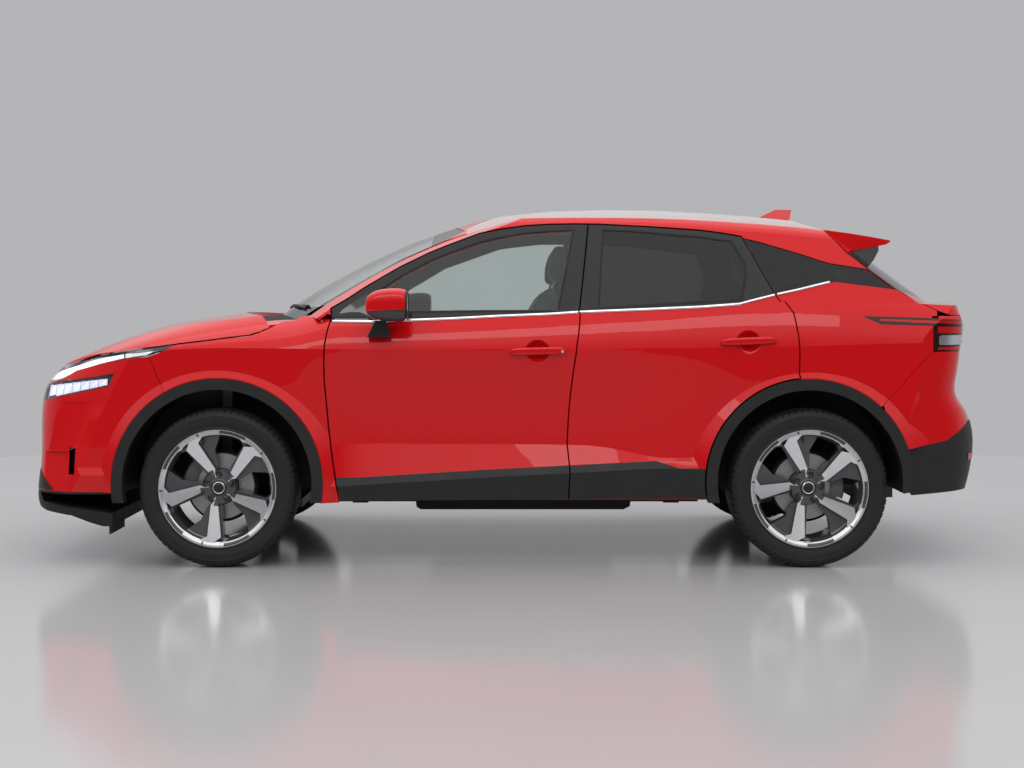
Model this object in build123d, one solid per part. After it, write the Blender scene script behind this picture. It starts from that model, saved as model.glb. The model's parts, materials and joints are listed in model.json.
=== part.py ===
from build123d import *
import os

# Compact crossover. Millimetres, +Z up, nose towards -X, left side towards -Y.
# The origin is on the ground under the centre of the body's box.

# ---------------------------------------------------------------- driving dimensions
LENGTH = 4425.0
WIDTH = 1835.0
WHEELBASE = 2665.0
FRONT_OVERHANG = 895.0
TRACK = 1580.0
TYRE_RADIUS = 358.0
TYRE_WIDTH = 235.0
RIM_RADIUS = 265.0
GROUND_CLEARANCE = 183.0
SILL_Z = 292.0
CLADDING_TOP_Z = 475.0
WEDGE_Z = 553.0
SHOULDER_Z = 985.0
BELT_Z = 1139.0
BONNET_Z = 1160.0
ROOF_Z = 1614.0
SHUT_GAP = 7.0
SEAM = 2.5
DOOR_INNER_Y = 790.0
FRAME_OUTER_Y = 768.0
FRAME_INNER_Y = 718.0
PANEL = 30.0
HATCH_PANEL = 50.0
GLASS_RECESS = 4.0
GLASS = 5.0
GLASS_BED = 1.0
FRONT_ARCH_RADIUS = 476.0
REAR_ARCH_RADIUS = 466.0
ARCH_BAND = 50.0
WELL_RADIUS = 440.0
WELL_INNER_Y = 462.0
LINER = 6.0
KINGPIN_Y = 700.0
STUB_RADIUS = 30.0
STUB_CLEARANCE = 0.05
FLOOR_Z = 300.0
BOOT_Z = 565.0
JACK_FACE_Z = 278.0
TOW_THREAD_RADIUS = 10.0
TOW_THREAD_LENGTH = 45.0
PLATE_WIDTH = 524.0
PLATE_HEIGHT = 116.0

HALF_WIDTH = WIDTH / 2
NOSE_X = -LENGTH / 2
TAIL_X = LENGTH / 2
FRONT_AXLE_X = NOSE_X + FRONT_OVERHANG
REAR_AXLE_X = FRONT_AXLE_X + WHEELBASE
WHEEL_Y = TRACK / 2
HUB_Z = TYRE_RADIUS
OUTSIDE_Y = HALF_WIDTH + 80
FAR = 3000.0


# ---------------------------------------------------------------- helpers
def placed(anchor_x, anchor_z, points):
    """Side-view points measured from a named X and a named height."""
    return [(anchor_x + x, anchor_z + z) for x, z in points]


def shifted(points, dx, dz=0.0):
    return [(x + dx, z + dz) for x, z in points]


def prism(points, start=-FAR, end=FAR, slant=0.0):
    """Side-view outline (x, z) carried along Y from start to end.

    slant moves the outline forwards by that share of the distance from start.
    """
    wire = Wire.make_polygon([Vector(x, start, z) for x, z in points])
    way = Vector(-slant * (end - start), end - start, 0)
    return Solid.extrude(Face(wire), way)


def left_prism(points, slant=0.0):
    """Side-view outline carried in from outside the left side to the centre plane."""
    return prism(points, -OUTSIDE_Y, 0, slant)


def front_prism(points, start, end):
    """Front-view outline (y, z) carried along X from start to end."""
    wire = Wire.make_polygon([Vector(start, y, z) for y, z in points])
    return Solid.extrude(Face(wire), Vector(end - start, 0, 0))


def block(x0, x1, y0, y1, z0, z1):
    box = Solid.make_box(x1 - x0, abs(y1 - y0), z1 - z0)
    return box.moved(Location((x0, min(y0, y1), z0)))


def cylinder_y(x, z, radius, y0, y1):
    plane = Plane(origin=(x, min(y0, y1), z), x_dir=(1, 0, 0), z_dir=(0, 1, 0))
    return Solid.make_cylinder(radius, abs(y1 - y0), plane)


def mirrored(shape):
    return shape.mirror(Plane.XZ)


def both(shape):
    return [shape, mirrored(shape)]


def largest(shape):
    return max(shape.solids(), key=lambda solid: solid.volume)


def widened(points, width):
    """A band of the stated width along an open line of points."""
    return shifted(points, -width / 2) + shifted(points, width / 2)[::-1]


def grown(points, width):
    """A closed side-view outline moved outwards by width."""
    wire = Wire.make_polygon([Vector(x, z, 0) for x, z in points])
    out = wire.offset_2d(width, Kind.INTERSECTION)
    return [(v.X, v.Y) for v in out.vertices()]


parts = {}


def add(name, *shapes):
    parts[name] = [solid for shape in shapes for solid in shape.solids()]


# ---------------------------------------------------------------- lower body surface
# Stations along X. For each line: y is measured in from the half width and z from the named
# level of that line; the last value is the centre line's height from the bonnet level.
STATIONS = (
    # x,                 cladding,   wedge,      shoulder,   belt,        centre
    (NOSE_X - 140,       30, -25,    38,   0,    60, -190,   320, -290,   -285),
    (NOSE_X + 110,       30, -25,    36,   0,    42, -117,   265, -246,   -240),
    (NOSE_X + 262,       28, -25,    34,   0,    32,  -70,   236, -177,   -160),
    (NOSE_X + 462,       27, -25,    33,   0,    24,  -27,   216, -107,    -84),
    (FRONT_AXLE_X - 180, 26, -25,    33,   0,    20,    0,   205,  -47,    -32),
    (FRONT_AXLE_X + 80,  26, -25,    34,   0,    17,    5,   196,  -14,      0),
    (FRONT_AXLE_X + 310, 26, -35,    36,   0,    15,    3,   172,    1,     22),
    (FRONT_AXLE_X + 480, 26, -72,    42,   0,    14,    1,    90,  -20,     30),
    (FRONT_AXLE_X + 640, 26, -68,    64,   3,    14,    0,    70,  -34,     30),
    (FRONT_AXLE_X + 760, 26, -60,    69,   3,    14,    0,    66,  -30,     30),
    (FRONT_AXLE_X + 900, 26, -52,    70,   2,    14,    0,    66,  -25,     30),
    (FRONT_AXLE_X + 1050, 26, -43,   70,   1,    14,    0,    66,  -19,     30),
    (FRONT_AXLE_X + 1200, 26, -34,   70,   0,    14,    0,    66,  -13,     30),
    (FRONT_AXLE_X + 1370, 26, -25,   70,   0,    14,    0,    66,   -5,     30),
    (FRONT_AXLE_X + 1540, 26, -16,   69,  -2,    14,    0,    66,    3,     30),
    (FRONT_AXLE_X + 1700, 26,  -8,   66,  -8,    14,    0,    66,   11,     30),
    (FRONT_AXLE_X + 1840, 26,   0,   59, -30,    14,    2,    66,   18,     31),
    (REAR_AXLE_X - 690,  26,   6,    50, -56,    13,    5,    66,   26,     32),
    (REAR_AXLE_X - 550,  26,   4,    43, -58,    13,    6,    66,   35,     36),
    (REAR_AXLE_X - 400,  26,   0,    38, -55,    13,    8,    67,   45,     42),
    (REAR_AXLE_X - 60,   25, -10,    35, -50,    12,   12,    70,   62,     60),
    (REAR_AXLE_X + 250,  26, -10,    34, -50,    20,   22,    84,   62,     60),
    (REAR_AXLE_X + 500,  28, -10,    38, -50,    34,   28,   110,   52,     50),
    (TAIL_X - 110,       34, -10,    50, -50,    60,   30,   150,   40,     45),
    (TAIL_X + 140,       50, -10,    66, -50,    95,   30,   200,   30,     40),
)
CLADDING_FACET = 34.0


def flip(point):
    return Vector(point.X, -point.Y, point.Z)


def side_section(station, inset):
    """Closed cross-section of the lower body, brought in by inset all round."""
    x, clad_y, clad_z, wedge_y, wedge_z, shoulder_y, shoulder_z, belt_y, belt_z, centre_z = station
    half = HALF_WIDTH - inset
    floor = GROUND_CLEARANCE - 60 + inset
    clad_edge_z = CLADDING_TOP_Z + clad_z - CLADDING_FACET
    left = [Vector(x, -y, z) for y, z in (
        (half - 60, floor),
        (half - clad_y - 10, SILL_Z + 38),
        (half - clad_y + 4, clad_edge_z),
        (half - clad_y - 8, clad_edge_z + CLADDING_FACET),
        (half - wedge_y, WEDGE_Z + wedge_z),
        (half - shoulder_y, SHOULDER_Z + shoulder_z),
        (half - belt_y, BELT_Z + belt_z - inset),
    )]
    right = [flip(point) for point in left]
    wedge, shoulder, belt = left[4], left[5], left[6]
    waist = Vector(x, wedge.Y - 2.0, wedge.Z + 0.45 * (shoulder.Z - wedge.Z))
    swell = Vector(x, shoulder.Y + 6.0, shoulder.Z - 0.20 * (shoulder.Z - wedge.Z))
    brow = Vector(x, shoulder.Y + 0.18 * (belt.Y - shoulder.Y),
                  shoulder.Z + 0.55 * (belt.Z - shoulder.Z))
    crown = Vector(x, 0, 2 * (BONNET_Z + centre_z - inset) - belt.Z)
    edges = [Edge.make_line(a, b) for a, b in zip(left[:4], left[1:5])]
    edges.append(Edge.make_bezier(wedge, waist, swell, shoulder))
    edges.append(Edge.make_bezier(shoulder, brow, belt))
    edges.append(Edge.make_bezier(belt, crown, flip(belt)))
    edges.append(Edge.make_bezier(flip(belt), flip(brow), flip(shoulder)))
    edges.append(Edge.make_bezier(flip(shoulder), flip(swell), flip(waist), flip(wedge)))
    edges += [Edge.make_line(a, b) for a, b in zip(right[4:0:-1], right[3::-1])]
    edges.append(Edge.make_line(right[0], left[0]))
    return Wire(edges)


# Plan outlines: height, then X of the nose at the centre, the shoulder (650) and the corner
# (875) from NOSE_X, and X of the tail at the centre, shoulder (600) and corner (860) from TAIL_X.
PLANS = (
    # z,     nose centre, 650, corner,    tail centre, 600, corner
    (150.0,    60,  88, 250,     -92, -132, -345),
    (235.0,    24,  50, 225,     -68, -108, -340),
    (318.0,     1,  22, 213,     -46,  -86, -335),
    (400.0,     1,  28, 228,     -22,  -62, -338),
    (480.0,     1,  31, 255,      -7,  -48, -342),
    (560.0,     0,  30, 290,       0,  -44, -350),
    (640.0,     0,  29, 315,     -13,  -57, -350),
    (720.0,     5,  34, 350,     -52,  -95, -340),
    (785.0,    19,  46, 376,     -94, -134, -329),
    (845.0,    46,  81, 402,    -101, -134, -315),
    (910.0,    98, 142, 430,     -91, -123, -304),
    (1000.0,  158, 216, 470,     -75, -109, -300),
    (1100.0,  265, 318, 530,     -62,  -97, -300),
    (1200.0,  360, 412, 610,     -92, -132, -325),
    (1320.0,  460, 520, 700,    -150, -200, -400),
)


def plan_section(plan, inset):
    """Closed plan outline of the nose and tail; its sides stand clear of the body."""
    z, nose, nose_side, nose_corner, tail, tail_side, tail_corner = plan
    clear_y = HALF_WIDTH + 90
    x0, x1, x2 = (NOSE_X + inset + value for value in (nose, nose_side, nose_corner))
    x3, x4, x5 = (TAIL_X - inset + value for value in (tail, tail_side, tail_corner))
    front = [(x2 + 330, -clear_y), (x2, -875), ((x1 + x2) / 2 - 38, -795), (x1, -650),
             (x0 + 5, -350), (x0, 0)]
    front += [(x, -y) for x, y in front[-2::-1]]
    rear = [(x5 - 330, clear_y), (x5, 860), ((x4 + x5) / 2 + 38, 775), (x4, 600), (x3 - 7, 330),
            (x3, 0)]
    rear += [(x, -y) for x, y in rear[-2::-1]]
    steps = [0, 0.13, 0.19, 0.27, 0.40, 0.5, 0.60, 0.73, 0.81, 0.87, 1]
    edges = [Edge.make_spline([Vector(x, y, z) for x, y in front], parameters=steps)]
    edges.append(Edge.make_line(edges[0] @ 1, Vector(rear[0][0], rear[0][1], z)))
    edges.append(Edge.make_spline([Vector(x, y, z) for x, y in rear], parameters=steps))
    edges.append(Edge.make_line(edges[2] @ 1, edges[0] @ 0))
    return Wire(edges)


def lower_body(inset=0.0):
    along = Solid.make_loft([side_section(station, inset) for station in STATIONS])
    up = Solid.make_loft([plan_section(plan, inset) for plan in PLANS])
    return along & up


# ---------------------------------------------------------------- greenhouse surface
# Roof line: X, height of the centre from the roof level, and how far the sides draw in.
ROOF_LINE = (
    (FRONT_AXLE_X - 100, -170, 0),
    (FRONT_AXLE_X + 400, -110, 0),
    (FRONT_AXLE_X + 720, -66, 0),
    (FRONT_AXLE_X + 1010, -28, 0),
    (FRONT_AXLE_X + 1220, -10, 0),
    (FRONT_AXLE_X + 1520, 0, 0),
    (FRONT_AXLE_X + 1820, 0, 0),
    (REAR_AXLE_X - 450, -14, 0),
    (REAR_AXLE_X - 85, -40, 8),
    (REAR_AXLE_X + 100, -58, 18),
    (REAR_AXLE_X + 290, -84, 30),
    (REAR_AXLE_X + 440, -111, 42),
    (REAR_AXLE_X + 860, -200, 80),
)
TUMBLE = 0.518

# Screens: height from the belt, X of the windscreen on the centre line from the front axle and
# of the tailgate glass from the rear axle, and how far each falls back per square metre of width.
SCREENS = (
    (-159, -12, 400, 888, -320),
    (22, 200, 423, 753, -320),
    (124, 352, 487, 635, -380),
    (258, 601, 562, 455, -410),
    (361, 828, 688, 318, -420),
    (421, 998, 775, 238, -420),
    (521, 1298, 860, 103, -420),
)


def side_y(z, inset=0.0):
    """Half width of the side glass plane at height z."""
    return HALF_WIDTH - 78 - TUMBLE * (z - BELT_Z) - inset


def roof_section(station, inset):
    x, drop, taper = station
    centre_z = ROOF_Z + drop - inset
    rail_z = centre_z - 58
    rail = Vector(x, -side_y(rail_z, inset) + taper, rail_z)
    edge = Vector(x, rail.Y + 76, centre_z - 13)
    waist = Vector(x, -side_y(BELT_Z - 10, inset) + taper, BELT_Z - 10)
    foot = Vector(x, waist.Y + 20, BELT_Z - 139)
    shoulder = Vector(x, rail.Y + 22, centre_z - 17)
    belly = Vector(x, (waist.Y + rail.Y) / 2 - 10, (waist.Z + rail.Z) / 2)
    crown = Vector(x, 0, centre_z + 13)
    return Wire([
        Edge.make_line(foot, waist),
        Edge.make_bezier(waist, belly, rail),
        Edge.make_bezier(rail, shoulder, edge),
        Edge.make_bezier(edge, crown, flip(edge)),
        Edge.make_bezier(flip(edge), flip(shoulder), flip(rail)),
        Edge.make_bezier(flip(rail), flip(belly), flip(waist)),
        Edge.make_line(flip(waist), flip(foot)),
        Edge.make_line(flip(foot), foot),
    ])


def screen_section(screen, inset):
    rise, front, front_fall, rear, rear_fall = screen
    z = BELT_Z + rise
    lean = 1.5 * inset
    nose = FRONT_AXLE_X + front + lean
    back = REAR_AXLE_X + rear - lean
    ahead = Edge.make_bezier(Vector(nose + front_fall, -1000, z), Vector(nose - front_fall, 0, z),
                             Vector(nose + front_fall, 1000, z))
    behind = Edge.make_bezier(Vector(back + rear_fall, 1000, z), Vector(back - rear_fall, 0, z),
                              Vector(back + rear_fall, -1000, z))
    return Wire([ahead, Edge.make_line(ahead @ 1, behind @ 0), behind,
                 Edge.make_line(behind @ 1, ahead @ 0)])


def roof_form(inset=0.0):
    return Solid.make_loft([roof_section(station, inset) for station in ROOF_LINE])


def greenhouse(inset=0.0):
    return roof_form(inset) & Solid.make_loft([screen_section(screen, inset) for screen in SCREENS])


# ---------------------------------------------------------------- shut lines, side view
FRONT_ARCH = (FRONT_AXLE_X, HUB_Z + 20)
REAR_ARCH = (REAR_AXLE_X, HUB_Z + 27)
ARCHES = ((FRONT_ARCH, FRONT_ARCH_RADIUS), (REAR_ARCH, REAR_ARCH_RADIUS))

DOOR_FRONT = placed(FRONT_AXLE_X, 0, [
    (551, SILL_Z), (533, 396), (520, 486), (502, 621), (483, 846), (482, 930), (485, 1000),
    (493, 1060), (510, 1139), (506, 1168)])
DOOR_TOP = placed(FRONT_AXLE_X, BELT_Z, [
    (574, 68), (653, 123), (810, 218), (946, 286), (1038, 324), (1177, 377), (1270, 396),
    (1387, 413), (1504, 420), (1621, 422)])
DOOR_TOP += placed(REAR_AXLE_X, BELT_Z, [(-928, 420), (-695, 408), (-463, 391), (-370, 379),
                                         (-273, 362)])
DOOR_REAR = placed(REAR_AXLE_X, BELT_Z, [(-144, 99), (-81, 9), (-58, -99), (-54, -179),
                                         (-54, -293)])
DOOR_SPLIT = placed(FRONT_AXLE_X, 0, [
    (1686, 1640), (1682, 1564), (1630, 1148), (1613, 1004), (1601, 891), (1592, 756),
    (1587, 600), (1581, 270)])
DOOR_SLANT = 0.3
FRONT_GLASS = placed(FRONT_AXLE_X, BELT_Z, [
    (678, 8), (705, 107), (818, 183), (946, 253), (1038, 291), (1177, 342), (1270, 364),
    (1387, 385), (1504, 394), (1618, 397), (1570, 160), (1539, 14)])
REAR_GLASS = placed(REAR_AXLE_X, BELT_Z, [
    (-949, 25), (-920, 397), (-828, 396), (-696, 387), (-463, 366), (-318, 345), (-262, 244),
    (-260, 184), (-288, 64)])
BELT_LINE = placed(FRONT_AXLE_X, BELT_Z, [(380, -32), (682, -34), (1044, -21), (1271, -9),
                                          (1498, 0), (1630, 9), (1725, 13)])
BELT_LINE += placed(REAR_AXLE_X, BELT_Z, [(-715, 22), (-488, 32), (-307, 45), (-216, 68),
                                          (-120, 91)])
CLADDING_LINE = placed(FRONT_AXLE_X, CLADDING_TOP_Z, [
    (300, -72), (480, -72), (640, -68), (1200, -34), (1700, -8)])
CLADDING_LINE += placed(REAR_AXLE_X, CLADDING_TOP_Z, [(-690, 6), (-582, -27), (0, -27)])
QUARTER_BAND = placed(REAR_AXLE_X, BELT_Z, [
    (-300, 366), (-187, 339), (-6, 284), (84, 253), (129, 239), (303, 212), (425, 116),
    (148, 151), (125, 147), (57, 131), (-34, 109), (-125, 90), (-200, 90)])
WINDSCREEN_EDGE = placed(FRONT_AXLE_X, BELT_Z, [
    (-82, -49), (332, -27), (405, 22), (576, 124), (804, 258), (1035, 361), (1102, 399),
    (988, 461), (918, 661), (-82, 661)])
BONNET_EDGE = placed(NOSE_X, SHOULDER_Z, [
    (-100, -92), (140, -88), (205, -73), (341, -33), (443, -16), (583, 2), (699, 18)])
BONNET_EDGE += placed(FRONT_AXLE_X, SHOULDER_Z, [
    (-89, 31), (2, 43), (139, 59), (184, 74), (229, 95), (275, 122), (324, 161)])
UPPER_LAMP = placed(NOSE_X, SHOULDER_Z, [
    (78, -159), (157, -143), (234, -100), (344, -72), (445, -50), (583, -34), (651, -9),
    (699, 18), (583, 2), (443, -16), (341, -33), (205, -73), (140, -88), (-88, -92),
    (-88, -159)])
LOWER_LAMP = placed(NOSE_X, SHOULDER_Z, [
    (-88, -163), (78, -163), (158, -147), (287, -133), (425, -109), (400, -168), (41, -243),
    (-88, -243)])
BUMPER_SHUT = placed(NOSE_X, SHOULDER_Z, [(583, -34), (602, -67), (620, -117), (647, -175),
                                          (661, -202)])
TAILGATE_EDGE = placed(REAR_AXLE_X, BELT_Z, [
    (125, 561), (125, 402), (163, 358), (218, 292), (306, 217), (431, 120), (488, 83),
    (548, 46), (603, 18), (659, -1)])
REAR_BLACK = placed(REAR_AXLE_X, BELT_Z, [
    (52, 161), (148, 151), (419, 114), (565, 82), (620, 64), (718, 58), (952, 52), (952, 381),
    (443, 343), (423, 331), (218, 292), (52, 261)])
REAR_SHUT = placed(REAR_AXLE_X, SHOULDER_Z, [(567, -14), (507, -63), (416, -167), (348, -235),
                                             (330, -253)])
TAIL_LAMP = placed(REAR_AXLE_X, SHOULDER_Z, [
    (245, 149), (762, 134), (1000, 130), (1000, -13), (567, -13), (568, 104), (326, 111)])
REAR_SKIRT_TOP = placed(REAR_AXLE_X, 0, [(380, 535), (443, 535), (643, 568), (713, 610),
                                         (773, 650), (1000, 660)])


def inner_side(inset=0.0, bottom=-100.0):
    """Everything inboard of the doors' inner faces, moved in by inset."""
    low = DOOR_INNER_Y - inset
    high = 566 - inset
    outline = [(-low, bottom), (-low, BELT_Z - 30), (-high, ROOF_Z - 24), (-high + 20, ROOF_Z + 86)]
    outline += [(-y, z) for y, z in outline[::-1]]
    return front_prism(outline, -FAR, FAR)


def slanted(points):
    """The outline moved in X so that the slanted cut still meets the skin along it."""
    skin = [HALF_WIDTH - 35 if z < SHOULDER_Z + 60 else side_y(z) for x, z in points]
    return [(x + DOOR_SLANT * (OUTSIDE_Y - y), z) for (x, z), y in zip(points, skin)]


def arch_hole(arch, radius, y0=-FAR, y1=-WELL_INNER_Y):
    return cylinder_y(arch[0], arch[1], radius, y0, y1)


# ---------------------------------------------------------------- body envelope
LOWER = lower_body()
LOWER_IN = lower_body(PANEL)
LOWER_DEEP = lower_body(2 * PANEL)
GREEN = greenhouse()
GREEN_IN = greenhouse(PANEL - 8)
GLASS_OUT = greenhouse(GLASS_RECESS)
GLASS_IN = greenhouse(GLASS_RECESS + GLASS)
GLASS_SEAT = greenhouse(GLASS_RECESS + GLASS + GLASS_BED)
GLASS_SHELL = GLASS_OUT - GLASS_IN
LEFT_GLASS = largest(GLASS_SHELL & block(-FAR, FAR, -FAR, 0, BELT_Z - 139, ROOF_Z + 86))

flares = []
for arch, radius in ARCHES:
    plane = Plane(origin=(arch[0], -HALF_WIDTH + 66, arch[1]), x_dir=(1, 0, 0), z_dir=(0, -1, 0))
    cone = Solid.make_cone(radius + 108, radius + 4, 60, plane)
    flares.append(cone & block(arch[0] - 700, arch[0] + 700, -FAR, 0, SILL_Z, 1200))
OUTER = LOWER.fuse(GREEN, *flares)
LOWER_SHELL = LOWER - LOWER_IN
LEFT_SKIN = LOWER_SHELL.fuse(*[flare - LOWER_IN for flare in flares])

# ---------------------------------------------------------------- doors, left side
ahead_of_rear = DOOR_FRONT + DOOR_TOP + placed(REAR_AXLE_X, BELT_Z, [(253, 341)])
ahead_of_rear += [(REAR_AXLE_X + 253, SILL_Z)]
before_rear = [(DOOR_FRONT[0][0] - 150, SILL_Z - 20), (DOOR_FRONT[0][0] - 150, ROOF_Z + 86),
               (DOOR_TOP[-1][0] + 5, ROOF_Z + 86), DOOR_TOP[-1]]
before_rear += DOOR_REAR + [(DOOR_REAR[-1][0], SILL_Z - 20)]
below_doors = [(-FAR, 0), (-FAR, SILL_Z + 8), (DOOR_FRONT[0][0], SILL_Z + 8),
               (DOOR_REAR[-1][0], SILL_Z + 23), (FAR, SILL_Z + 23), (FAR, 0)]
doors_zone = left_prism(ahead_of_rear) & left_prism(slanted(before_rear), DOOR_SLANT)
doors_zone = doors_zone - prism(below_doors, -FAR, 0)
door_side = (OUTER - inner_side()) & doors_zone
door_side = door_side - arch_hole(REAR_ARCH, REAR_ARCH_RADIUS + SHUT_GAP, -FAR, 0)
door_side = door_side - left_prism(slanted(widened(DOOR_SPLIT, SHUT_GAP)), DOOR_SLANT)
doors = sorted(door_side.solids(), key=lambda solid: -solid.volume)[:2]
doors.sort(key=lambda solid: solid.center().X)

ABOVE_BELT = left_prism(BELT_LINE + [(REAR_AXLE_X, BELT_Z + 91), (REAR_AXLE_X, ROOF_Z + 86),
                                     (BELT_LINE[0][0], ROOF_Z + 86)])
LOW_TRIM = prism(CLADDING_LINE + [(REAR_AXLE_X, 0), (CLADDING_LINE[0][0], 0)],
                 -FAR, -DOOR_INNER_Y - 30)


def handle(x, z, length, rise):
    """Grip bar across a round hand cup, and the cup itself."""
    bar_y = -HALF_WIDTH + 1
    bar = block(x - length / 2, x + length / 2, bar_y, bar_y + 13, z - 15, z + 15)
    ends = [bar.edges().filter_by(Axis.Y).sort_by(Axis.X)[i] for i in range(4)]
    bar = bar.fillet(12, ends)
    posts = [block(x + dx - 24, x + dx + 24, bar_y + 6, bar_y + 40, z - 11, z + 11)
             for dx in (-length / 2 + 34, length / 2 - 34)]
    bar = bar.fuse(*posts).rotate(Axis((x, 0, z), (0, 1, 0)), rise)
    cup = Solid.make_sphere(74).moved(Location((x, bar_y + 13 - 46, z)))
    return bar, cup


HANDLES = {"front": handle(FRONT_AXLE_X + 1441, 977, 250, -1.5),
           "rear": handle(REAR_AXLE_X - 276, 1022, 250, -2.5)}
for name, door, opening in (("front", doors[0], FRONT_GLASS), ("rear", doors[1], REAR_GLASS)):
    panel = door - left_prism(opening)
    bar, cup = HANDLES[name]
    frame = panel & ABOVE_BELT
    cladding = panel & LOW_TRIM
    panel = largest(panel - ABOVE_BELT - LOW_TRIM - cup)
    add(f"door_{name}_left", largest(panel.fuse(bar)))
    add(f"glass_{name}_left", largest(LEFT_GLASS & left_prism(opening)))
    add(f"trim_{name}_left", largest(frame), largest(cladding))

# ---------------------------------------------------------------- body side, left
rear_clear = shifted(before_rear[3:], SHUT_GAP)
rear_clear = [(before_rear[0][0], SILL_Z - 60), before_rear[1],
              (before_rear[2][0] + SHUT_GAP, ROOF_Z + 86)] + rear_clear
door_clear = left_prism(grown(ahead_of_rear, SHUT_GAP)) & left_prism(slanted(rear_clear),
                                                                     DOOR_SLANT)
quarter_outline = placed(FRONT_AXLE_X, BELT_Z, [(257, -79), (257, 561)])
quarter_outline += shifted(TAILGATE_EDGE[:-1], -SHUT_GAP)
quarter_outline += placed(REAR_AXLE_X, SHOULDER_Z, [(592, 149), (567, 149)]) + REAR_SHUT
quarter_outline += [(REAR_AXLE_X + 100, 600), (REAR_AXLE_X - 450, 600),
                    (FRONT_AXLE_X + 620, SHOULDER_Z + 15)]
FENDER_EDGE = BUMPER_SHUT[::-1] + placed(NOSE_X, SHOULDER_Z, [(651, -9), (699, 18)])
FENDER_EDGE += BONNET_EDGE[7:] + placed(FRONT_AXLE_X, BELT_Z, [(418, -9), (452, -23), (488, 6)])
FENDER_EDGE += shifted(DOOR_FRONT[8::-1], -SHUT_GAP)
FENDER_EDGE += [(FRONT_AXLE_X + 68, SILL_Z), (FRONT_AXLE_X + 68, 600), (BUMPER_SHUT[-1][0], 600)]
fender_zone = prism(FENDER_EDGE, -FAR, -FRAME_OUTER_Y - 4) - left_prism(WINDSCREEN_EDGE)
BONNET_ZONE = prism(BONNET_EDGE + [(BONNET_EDGE[-1][0] + 8, ROOF_Z), (NOSE_X - 100, ROOF_Z)])

side_skin = (OUTER - inner_side(DOOR_INNER_Y - FRAME_OUTER_Y)) & left_prism(quarter_outline)
side_skin = side_skin - door_clear - left_prism(WINDSCREEN_EDGE) - BONNET_ZONE - fender_zone
side_skin = side_skin - block(-FAR, FAR, -560, 560, BELT_Z, ROOF_Z + 86)
side_skin = side_skin - (left_prism(QUARTER_BAND) - GLASS_SEAT)
side_skin = side_skin - (left_prism(TAIL_LAMP) - LOWER_IN)
side_skin = side_skin - left_prism(FENDER_EDGE)
for arch, radius in ARCHES:
    side_skin = side_skin - arch_hole(arch, radius)

ring = inner_side(DOOR_INNER_Y - FRAME_OUTER_Y) - inner_side(DOOR_INNER_Y - FRAME_INNER_Y)
ring_outline = [(FRONT_AXLE_X + 358, SILL_Z), (FRONT_AXLE_X + 358, BELT_Z - 39)]
ring_outline += placed(FRONT_AXLE_X, BELT_Z, [(988, 391), (1378, 437), (1738, 441)])
ring_outline += placed(REAR_AXLE_X, BELT_Z, [(-448, 417), (93, 361), (553, 5), (680, -25)])
ring_outline += [(REAR_AXLE_X + 690, BOOT_Z - 15), (REAR_AXLE_X - 368, BOOT_Z - 15),
                 (REAR_AXLE_X - 368, SILL_Z)]
ring = ring & left_prism(ring_outline) & GREEN_IN.fuse(LOWER_IN)
front_hole = placed(FRONT_AXLE_X, BELT_Z, [
    (578, -799), (543, -339), (538, -29), (678, 81), (958, 246), (1258, 351), (1468, 376),
    (1628, 376), (1543, -9), (1533, -799)])
rear_hole = placed(REAR_AXLE_X, BELT_Z, [
    (-1018, -799), (-1003, -9), (-938, 373), (-708, 366), (-338, 321), (-238, 91), (-178, -9),
    (-178, -179), (-338, -289), (-488, -439), (-558, -799)])
back_hole = placed(REAR_AXLE_X, BELT_Z, [(-155, 318), (0, 252), (205, 205), (250, 175),
                                         (130, 160), (-50, 118), (-128, 100)])
for hole in (front_hole, rear_hole, back_hole):
    ring = ring - left_prism(hole)
for arch, radius in ARCHES:
    ring = ring - arch_hole(arch, WELL_RADIUS + LINER + SEAM, -FAR, 0)
side_frame = (side_skin - left_prism(back_hole)).fuse(ring)
side_frame = largest(side_frame)
add("side_frames", *both(side_frame))
quarter_glass = LEFT_GLASS & left_prism(QUARTER_BAND) - door_clear
add("quarter_glasses", *both(largest(quarter_glass)))

# ---------------------------------------------------------------- fenders, bonnet, cowl
fender = LEFT_SKIN & fender_zone
fender = largest(fender - arch_hole(FRONT_ARCH, FRONT_ARCH_RADIUS, -FAR, 0))
add("fenders", *both(fender))


def behind_arc(gap):
    """Everything behind the bonnet's curved rear edge, from gap ahead of it."""
    corner = FRONT_AXLE_X + 338 - gap
    arc = Edge.make_bezier(Vector(corner, -1000, 0), Vector(corner - 660, 0, 0),
                           Vector(corner, 1000, 0))
    left, right = Vector(FAR, -1000, 0), Vector(FAR, 1000, 0)
    face = Face(Wire([arc, Edge.make_line(arc @ 1, right), Edge.make_line(right, left),
                      Edge.make_line(left, arc @ 0)]))
    return Solid.extrude(face, Vector(0, 0, 2000))


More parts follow.
